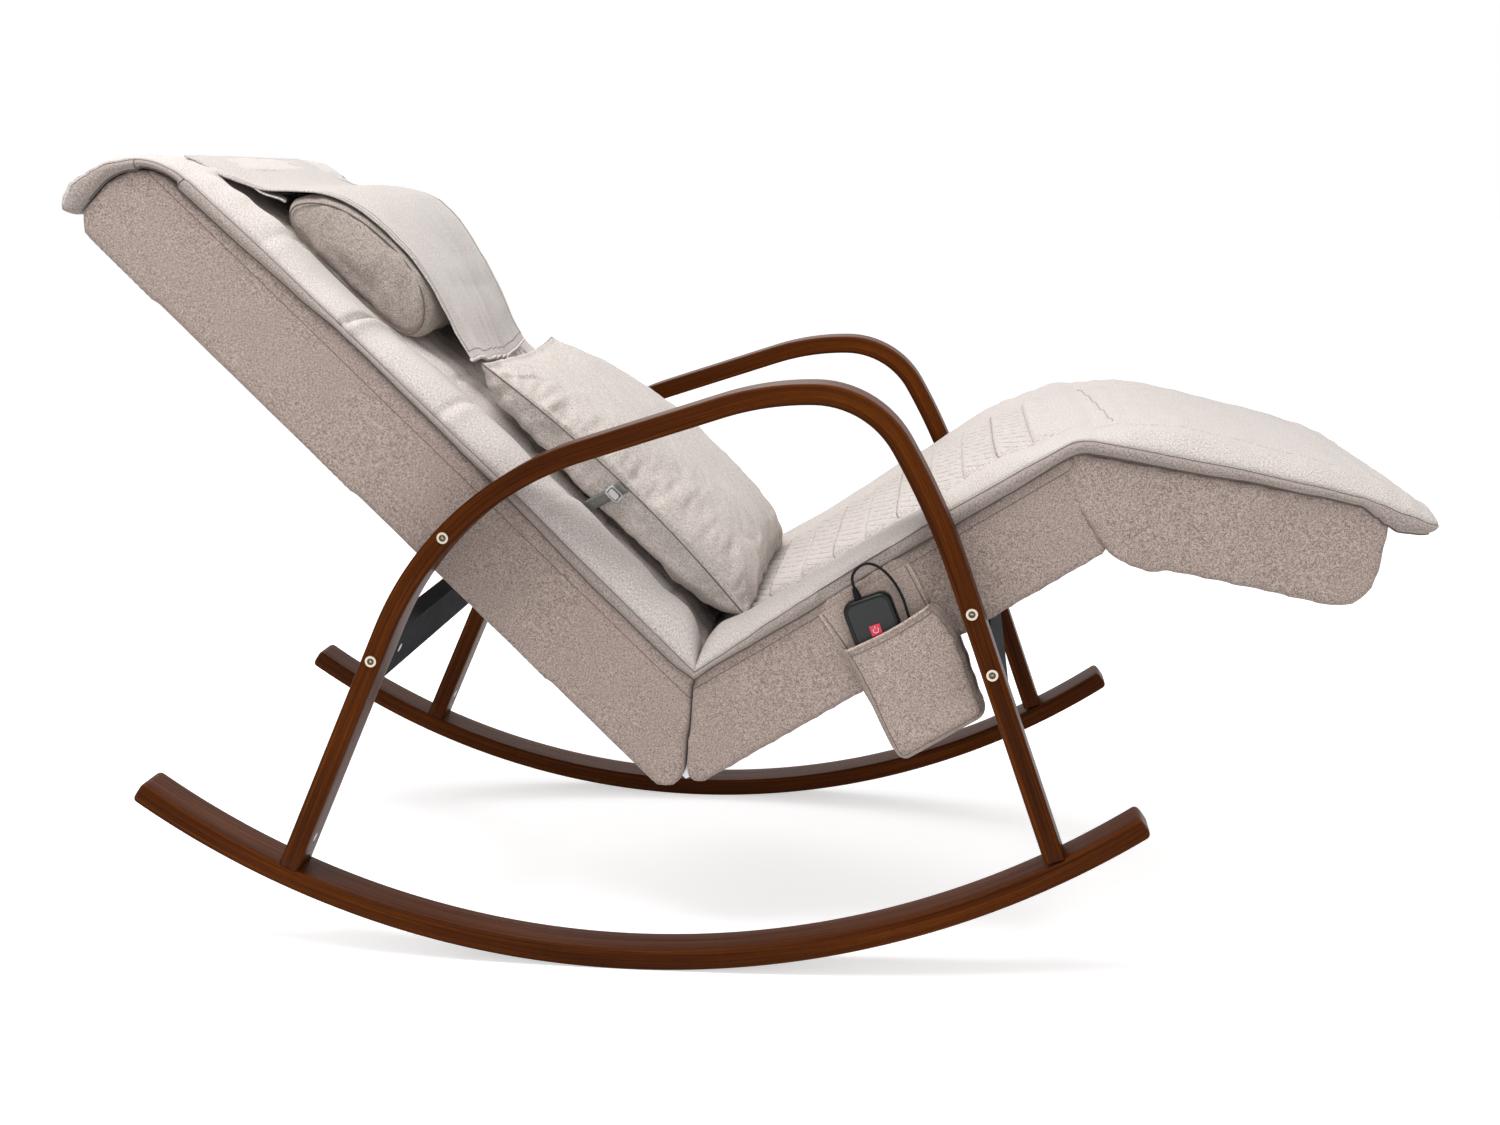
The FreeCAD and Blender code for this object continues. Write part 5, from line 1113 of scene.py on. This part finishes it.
# puckers square to the seam, drag lines at the corners and soft unevenness elsewhere
along = np.where(to_side < to_end, x, y)
fold = np.stack([along / 13.0, edge / 46.0, np.sign(n - 78) * 3 + np.where(to_side < to_end, np.sign(y), 5.0)], 1)
pucker = noises(fold, 1.0, 21) * np.exp(-edge / 46.0)
patch = smooth_step(-0.35, 0.35, noises(co, 0.075, 25))
drag = noises(np.stack([(x + 0.7 * y) / 15.0, (x - 0.7 * y) / 70.0, n / 60.0], 1), 1.0, 24)
corner = np.exp(-((to_side + to_end) / 75.0) ** 2)
wrinkles = pucker * (5.0 + 8.0 * patch) * (0.4 + 0.6 * smooth_step(62, 90, n)) \
    + noises(co, 0.07, 22) * 2.0 + noises(co, 0.028, 23) * 0.7 + drag * (1.2 + 3.0 * corner)
move_points(cushion, pushed(co, no, wrinkles * smooth_step(1, 14, edge)))
dress(cushion, pillow_linen)
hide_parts("lumbar_pillow")
wall_x, wall_y, wall_n = in_place(BACK, points_of(cushion))


def cushion_side(x, n, side):
    """How far out the pillow's wall stands near a place, in millimetres from the middle."""
    near = (np.hypot(wall_x - x, wall_n - n) < 8) & (wall_y * side > 150)
    return side * float(np.abs(wall_y[near]).max())


sewn("lumbar_seam", [Vector(p) for p in points_of(cushion)[rim_order]], 0.8, seam_dark, close=True)


# Head pillow

# its end, and the flap's line over it, as (x, height) over the back
HEAD_END = ((-702, 40), (-693, 26), (-668, 19), (-622, 16), (-574, 16), (-540, 17), (-508, 20), (-489, 27),
            (-482, 41), (-488, 58), (-505, 76), (-534, 89), (-568, 94), (-605, 93), (-637, 88), (-667, 78), (-692, 58))
HEAD_HALF = 186.0
FLAP = ((-818, -5), (-800, 3), (-787, 8), (-762, 16), (-741, 24), (-724, 34), (-702, 54), (-674, 77), (-645, 89),
        (-615, 95), (-584, 96), (-560, 95), (-538, 92), (-510, 85), (-482, 76), (-453, 66), (-428, 60))
# how far the flap sags below that line, along x and across, and how far its hem shifts along x
SAG_ALONG = ((-645, 0.0), (-595, 0.34), (-558, 0.66), (-517, 0.84), (-480, 0.86), (-442, 0.94), (-428, 0.96))
SAG_ACROSS = ((-186, 0.0), (-80, 16.0), (60, 36.0), (130, 33.0), (186, 27.0))
DRAW_BACK = ((-186, 0.0), (-80, 3.0), (60, -1.0), (130, -6.0), (186, -13.0))


def fullness(y):
    """The head pillow is fuller in its middle than at its ends."""
    return 1.0 + 0.15 * (1 - np.minimum(1.0, np.abs(y) / HEAD_HALF) ** 2.5)


def flap_height(x, n, y):
    """Height of the flap at a place whose height at its near edge is n."""
    full = np.where(x > -730, 17 + (n - 17) * fullness(y), n)
    limp_edge = 3.5 * np.exp(-((x + 776) / 22.0) ** 2 - ((np.abs(y) - HEAD_HALF) / 18.0) ** 2)
    return full - limp_edge - linear(SAG_ALONG, x) * linear(SAG_ACROSS, y)


def above_flap(co, gap):
    """How far points stand above a gap under the flap, in millimetres."""
    x, y, n = in_place(BACK, co)
    return np.maximum(n - flap_height(x, linear(FLAP, x), y) + gap, 0.0)


def head_point(x, n, y, scale):
    """Point of the head pillow's outline at y, drawn together about its middle by the scale."""
    middle_x, middle_n, foot = -591.0, 54.0, 17.0
    x, n = middle_x + (x - middle_x) * scale, middle_n + (n - middle_n) * scale
    return BACK.at(x, y, foot + (n - foot) * fullness(y))


def smooth_loop(spots):
    """Closed loop with its corners cut twice over."""
    for _ in range(2):
        cut = []
        for i, p in enumerate(spots):
            q = spots[(i + 1) % len(spots)]
            cut += [tuple(a * 0.75 + b * 0.25 for a, b in zip(p, q)), tuple(a * 0.25 + b * 0.75 for a, b in zip(p, q))]
        spots = cut
    return spots


head_line = smooth_loop(HEAD_END)
# how far out each ring of the rounded end stands, and its share of the full outline
ends = [(192.5, 0.52), (192, 0.72), (190.5, 0.86), (187, 0.94), (182, 0.985)]
head_rows = [[head_point(x, n, y, scale) for x, n in head_line]
             for y, scale in [(-y, s) for y, s in ends] + [(-174 + 8.7 * k, 1.0) for k in range(41)] + ends[::-1]]
head = grid("head_cushion", head_rows, close_columns=True)
cap_ends(head, len(head_rows), len(head_line))
even_out(head, 0.005, 2)
inflate(head, 2.5, 0.006)
co, no = points_of(head), normals_of(head)
x, y, n = in_place(BACK, co)
end_wave = noises(np.stack([(x + n) / 14.0, (x - n) / 60.0, y / 40.0], 1), 1.0, 33) * smooth_step(150, 185, np.abs(y))
move_points(head, pushed(co, no, noises(co, 0.05, 31) * 1.2 + noises(co, 0.02, 32) * 0.5 + 3.0 * end_wave))
# pressed down under the flap
co = points_of(head)
move_points(head, pushed(co, BACK.out, -above_flap(co, 3.0) * (in_place(BACK, co)[0] > -715)))
subdivide(head)
# its darker linen paints the shade on the pillow's upright end
dress(head, head_linen_shaded)
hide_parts("head_pillow")
for side_name, sign in SIDES:
    ring = np.array([head_point(x, n, sign * 188.9, 0.90) for x, n in head_line])
    path = [Vector(p) for p in pushed(ring, BACK.out, -above_flap(ring, 5.0))]
    sewn("head_seam_" + side_name, path, 1.0, seam_dark, close=True)


# Flap over the head pillow

def through(spots, parts):
    """Smooth line through points in side view, in even steps, and its length."""
    fine = []
    count = len(spots)
    for i in range(count - 1):
        p0, p1 = spots[max(i - 1, 0)], spots[i]
        p2, p3 = spots[i + 1], spots[min(i + 2, count - 1)]
        for k in range(8):
            t = k / 8
            fine.append(tuple(0.5 * (2 * b + (c - a) * t + (2 * a - 5 * b + 4 * c - d) * t * t
                                     + (3 * b - a - 3 * c + d) * t ** 3)
                              for a, b, c, d in zip(p0, p1, p2, p3)))
    fine.append(spots[-1])
    runs = np.cumsum([0.0] + [math.dist(p, q) for p, q in zip(fine, fine[1:])])
    even = np.linspace(0, runs[-1], parts + 1)
    return list(zip(*(np.interp(even, runs, line).tolist() for line in zip(*fine)))), float(runs[-1])


FLAP_COLUMNS, FLAP_STEPS = 93, 100


def flap_grid():
    """Lines down the flap, from its right edge to its left, and the length of one."""
    rows = []
    line, length = through(FLAP, FLAP_STEPS)
    for j in range(FLAP_COLUMNS + 1):
        y = -HEAD_HALF + 2 * HEAD_HALF * j / FLAP_COLUMNS
        row = []
        for k, (x, n) in enumerate(line):
            low = smooth_step(0.66, 0.96, k / FLAP_STEPS)
            ripple = low * (2.0 * math.sin(y / 9.5 + 1.6 * math.sin(y / 37.0) + k / 33.0)
                            + 0.4 * math.sin(y / 5.2 + k / 20.0 + 1.0))
            ripple += abs(1.6 * noise.noise(Vector((x, y, 7.0)) / 34.0)) \
                + abs(0.7 * noise.noise(Vector((x, y, 2.0)) / 14.0))
            shift = low * float(linear(DRAW_BACK, y))
            row.append(BACK.at(x + shift, y, float(flap_height(x, n, y)) + ripple))
        rows.append(row)
    return rows, length


flap_rows, flap_length = flap_grid()
flap = grid("head_cover_flap", flap_rows)
thicken(flap, 0.0022, 1.0)
dress(flap, flap_linen)
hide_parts("head_flap")
# the hood's end of the flap, tucked in under it
tuck_rows = []
for j in range(63):
    y = -HEAD_HALF + 6.0 * j
    reach = 67 * (1 - 0.35 * smooth_step(0, 60, HEAD_HALF - abs(y)))
    spots = [-768 + reach * k / 14 for k in range(15)]
    tuck_rows.append([BACK.at(x, y, at(((-768, 15.5), (-733, 28), (-700, 40.5)), x)) for x in spots])
tuck = grid("flap_tuck", tuck_rows)
thicken(tuck, 0.002)
hem = sewn("flap_hem", [r[-1] + BACK.out * (1.0 * MM) for r in flap_rows], 2.3, hem_pale)
dress(tuck, flap_linen)
# two rows of stitching at each side, and one along the hem
lift = BACK.out * (2.3 * MM)
for k, row in enumerate((0.5, 2.4, FLAP_COLUMNS - 2.4, FLAP_COLUMNS - 0.5)):
    low, t = int(row), row - int(row)
    sewn("flap_stitch_%d" % k, [flap_rows[low][c].lerp(flap_rows[low + 1][c], t) + lift for c in range(12, 99)],
         0.42, thread)
sewn("flap_stitch_end", [r[97].lerp(r[98], 0.4) + lift for r in flap_rows[2:-2]], 0.42, thread)


# Elastic strap and buckle at each side of the lumbar pillow

STRAP_WIDTH = 14
BUCKLE_X, BUCKLE_N = -206, 69

for side_name, side in SIDES:
    rows = []
    for k in range(15):
        t = k / 14
        n = 84 - 52 * t
        x = -203 - 16 * t
        y = cushion_side(x, n, side) + side * 0.7
        rows.append([BACK.at(x - STRAP_WIDTH / 2 + STRAP_WIDTH * j / 4, y, n) for j in range(5)])
    band = grid("lumbar_band_" + side_name, rows)
    thicken(band, 0.0015)
    dress(band, strap_grey)
    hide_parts("lumbar_strap")
    wall = cushion_side(BUCKLE_X, BUCKLE_N, side) + side * 2.2
    path = []
    for a in circle(28):
        c, s = math.cos(a), math.sin(a)
        path.append(BACK.at(BUCKLE_X + 8.5 * math.copysign(abs(c) ** 0.45, c), wall,
                            BUCKLE_N + 6.0 * math.copysign(abs(s) ** 0.45, s)))
    ring = tube_along("buckle_" + side_name, path, 1.3 * MM, 8, close=True)
    bar = tube_along("buckle_bar_" + side_name, [BACK.at(BUCKLE_X + x, wall, BUCKLE_N) for x in (-7, 7)], 1.2 * MM, 8)
    lever = block("buckle_lever_" + side_name, BACK, [(-212, 65, 1), (-200, 65, 1), (-200, 72, 1), (-212, 72, 1)],
                  0.9, shift=wall + side * 1.2, step=2.0)
    for piece in (ring, bar, lever):
        dress(piece, buckle_clear)
    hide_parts("strap_buckle")


# Side pocket

# planes of the back panel and of the pouch's rim, and the pouch's heights
PANEL_Y, POUCH_Y = -271.4, -272.7
MOUTH, FOOT = -57, -199

panel = block("pocket_backing", SEAT, [(270, -10, 1), (262, -198, 16), (151, -198, 14), (157, -10, 1)], 1.0,
              shift=PANEL_Y, step=5.0)
modify(panel, "BEVEL", width=0.0007, segments=2)


def pouch_point(a, b, proud=0.0):
    """Point of the pouch: a from its left to its right, b from its mouth to its foot."""
    mouth = MOUTH - 3.0 * a - 3.0 * math.sin(math.pi * a)
    n = mouth + (FOOT - mouth) * b
    left = at(((FOOT, 149), (MOUTH, 161)), n)
    right = at(((FOOT, 260), (-175, 263), (-150, 268), (-125, 274), (-100, 278), (-78, 276), (MOUTH, 269)), n)
    spread = right - left
    x = left + spread * a
    side = min(1.0, a * spread / 7.0, (1 - a) * spread / 11.0)
    foot = min(1.0, (1 - b) * 140 / 13.0)
    # rounded up from the rim: 0 at the edges and 1 inside
    deep = math.sqrt(1 - (1 - side) ** 2) * math.sqrt(1 - (1 - foot) ** 2)
    sag = 17.5 + 2.6 * math.sin(math.pi * a) * (1 - b) - 2.0 * b
    ripple = 1.2 * noise.noise(Vector((x, n, 3.0)) / 30.0) + 0.5 * math.sin(n / 17.0 + x / 30.0)
    y = POUCH_Y - (sag + ripple) * deep - proud
    corner = 14 * (1 - math.sqrt(max(0.0, 1 - max(0.0, (b * 142 - 128) / 14.0) ** 2)))
    return SEAT.at(x + corner * (1 - 2 * a), y, n)


pouch = grid("pocket_front", [[pouch_point(i / 48, j / 52) for i in range(49)] for j in range(53)])
facing_out(pouch)
thicken(pouch, 0.0014, 0.0)
for piece, node in ((panel, "pocket_back_panel"), (pouch, "pocket_pouch")):
    dress(piece, pouch_linen)
    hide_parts(node)
sewn("pocket_binding", [pouch_point(i / 48, 0.0, 0.5) for i in range(1, 48)], 1.9, binding_linen)
for side_name, a in (("left", 0.0), ("right", 1.0)):
    sewn("pocket_edge_" + side_name, [pouch_point(a, k / 40, 0.4) for k in range(1, 36)], 1.5, binding_linen)
for k, (a_first, b_first, a_last, b_last) in enumerate(((0.03, 0.05, 0.97, 0.05), (0.05, 0.02, 0.05, 0.93),
                                                         (0.95, 0.02, 0.95, 0.93), (0.07, 0.945, 0.93, 0.945))):
    path = [pouch_point(a_first + (a_last - a_first) * t / 30, b_first + (b_last - b_first) * t / 30, 0.8)
            for t in range(31)]
    sewn("pocket_stitch_%d" % k, path, 0.55, thread)
for name, y, top, drop, radius, material, spots in (
        ("panel_stitch_%d", -272.6, -12, 48, 0.55, thread, ((161, 164), (266, 263))),
        ("panel_edge_%d", -272.2, -11, 52, 1.3, binding_linen, ((157.5, 160), (270, 267.5)))):
    for k, (first, last) in enumerate(spots):
        path = [SEAT.at(first + (last - first) * t, y, top - drop * t) for t in (0, 0.5, 1)]
        sewn(name % k, path, radius, material)


# Handset shell with a bevelled rim and an inset face

def handset_ring(inset, y):
    """Rounded outline of the handset, drawn in by an inset."""
    half, foot = 28.0 - inset, -126.0 + inset
    ring = rounded_rectangle(-half, half, foot, -inset, max(2.0, 13.0 - inset * 0.8), 8)
    return [HANDSET.at(x, y, z) for x, z in ring]


def handset_solid(name, profile, material):
    rows = [handset_ring(inset, y) for inset, y in profile]
    item = grid(name, rows, close_columns=True)
    cap_ends(item, len(rows), len(rows[0]))
    dress(item, material, "handset")
    return item


shell = handset_solid("handset_shell", (
    (6.0, -272.7), (2.5, -272.9), (0.8, -274.0), (0.2, -276.0), (0.0, -280.0), (0.2, -283.6), (1.0, -285.8),
    (2.4, -287.2), (3.8, -287.6), (4.6, -287.4), (4.9, -286.9)), black_shell)
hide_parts("handset_rear_case", "handset_front_case")
handset_solid("handset_face", ((5.0, -286.8), (5.2, -287.25), (6.2, -287.4)), grey_shell)
KEY_FACE_Y, KEY_Z = -288.6, -38.0
ring_path = [HANDSET.at(3.0 * math.sin(a), KEY_FACE_Y, KEY_Z + 3.0 * math.cos(a))
             for a in (math.radians(40 + 280 * k / 20) for k in range(21))]
sewn("power_symbol_ring", ring_path, 0.36, white_key, "power_key")
sewn("power_symbol_bar", [HANDSET.at(0, KEY_FACE_Y, KEY_Z + z) for z in (1.2, 4.4)], 0.36, white_key, "power_key")


# Hex sockets of the bolt heads, drawn as dark rings on the flat heads: painted shade of the recesses; a node holds
# several bolts, whose heads stand at least 20 mm apart

for node in ("rail_bolts", "box_bolts"):
    for bolt in [item for item in bpy.data.objects if item.type == "MESH" and item.name.startswith(node)]:
        spots = points_of(bolt) @ np.array(bolt.matrix_world.to_3x3()).T + np.array(bolt.matrix_world.translation)
        for side in (-1, 1):
            face = spots[spots[:, 1] * side > np.abs(spots[:, 1]).max() - 0.0003]
            heads = []
            for spot in face:
                if all(np.hypot(spot[0] - c[0], spot[2] - c[2]) > 0.02 for c in heads):
                    heads.append(spot)
            for k, spot in enumerate(heads):
                head_face = face[np.hypot(face[:, 0] - spot[0], face[:, 2] - spot[2]) < 0.02]
                middle = (head_face.min(0) + head_face.max(0)) / 2
                for ring_name, radius, tube, material in (("socket", 2.9, 1.0, dark_metal), ("pin", 0.5, 0.7, nickel)):
                    path = [Vector((middle[0] + radius * MM * math.cos(a), middle[1] + side * 0.0001,
                                    middle[2] + radius * MM * math.sin(a))) for a in circle(20)]
                    sewn("%s_%s_%d_%d" % (node, ring_name, k, side + 1), path, tube, material, close=True)


# Ribs of the strain relief

for k in range(5):
    z = 1.6 + 2.3 * k
    radius = 4.3 - 0.3 * k
    loop = [HANDSET.at(-7 + radius * math.cos(a), CORD_Y + radius * math.sin(a), z) for a in circle(20)]
    sewn("relief_rib_%d" % k, loop, 0.55, rubber, "handset", close=True)


# Stage and light

def seen_directly(tree):
    """1 where the camera or a reflection sees the surface, and 0 where it only lights others."""
    rays = tree.nodes.new("ShaderNodeLightPath")
    return math_node(tree, "MAXIMUM", rays.outputs["Is Camera Ray"], rays.outputs["Is Glossy Ray"])


floor = add_mesh("floor", [(-30, -8, 0), (30, -8, 0), (30, 40, 0), (-30, 40, 0)], [(0, 1, 2, 3)], smooth=False)
floor_paint, tree, shader = new_material("floor_pale")
set_inputs(shader, {"Base Color": (0.86, 0.86, 0.865, 1), "Roughness": 0.9, "Specular IOR Level": 0.1})
glow = tree.nodes.new("ShaderNodeEmission")
glow.inputs["Color"].default_value = (1, 1, 1, 1)
link(tree, times(tree, seen_directly(tree), 0.56), glow.inputs["Strength"])
added = tree.nodes.new("ShaderNodeAddShader")
link(tree, shader.outputs[0], added.inputs[0])
link(tree, glow.outputs[0], added.inputs[1])
link(tree, added.outputs[0], tree.nodes["Material Output"].inputs["Surface"])
paint(floor, floor_paint)

world = bpy.data.worlds.new("studio")
scene.world = world
world.use_nodes = True
tree = world.node_tree
back_node = tree.nodes["Background"]
back_node.inputs["Color"].default_value = (1, 1, 1, 1)
link(tree, plus(tree, times(tree, seen_directly(tree), 0.45), 0.55), back_node.inputs["Strength"])


def lamp(name, place, target, size, power):
    """Round area lamp at a place, turned to a target; size in metres and power in watts."""
    data = bpy.data.lights.new(name, "AREA")
    set_all(data, shape="DISK", size=size, energy=power)
    item = add_object(name, data)
    item.location = place
    item.rotation_euler = (Vector(target) - Vector(place)).to_track_quat("-Z", "Y").to_euler()


lamp("key", (-0.6, -1.1, 2.9), (0.1, 0.0, 0.45), 1.4, 60)
lamp("fill", (1.6, -2.7, 1.5), (0.2, 0.0, 0.4), 2.0, 12)
lamp("rim", (-0.6, 2.4, 2.4), (0.0, 0.0, 0.5), 1.8, 24)

scene.view_settings.view_transform = "Standard"
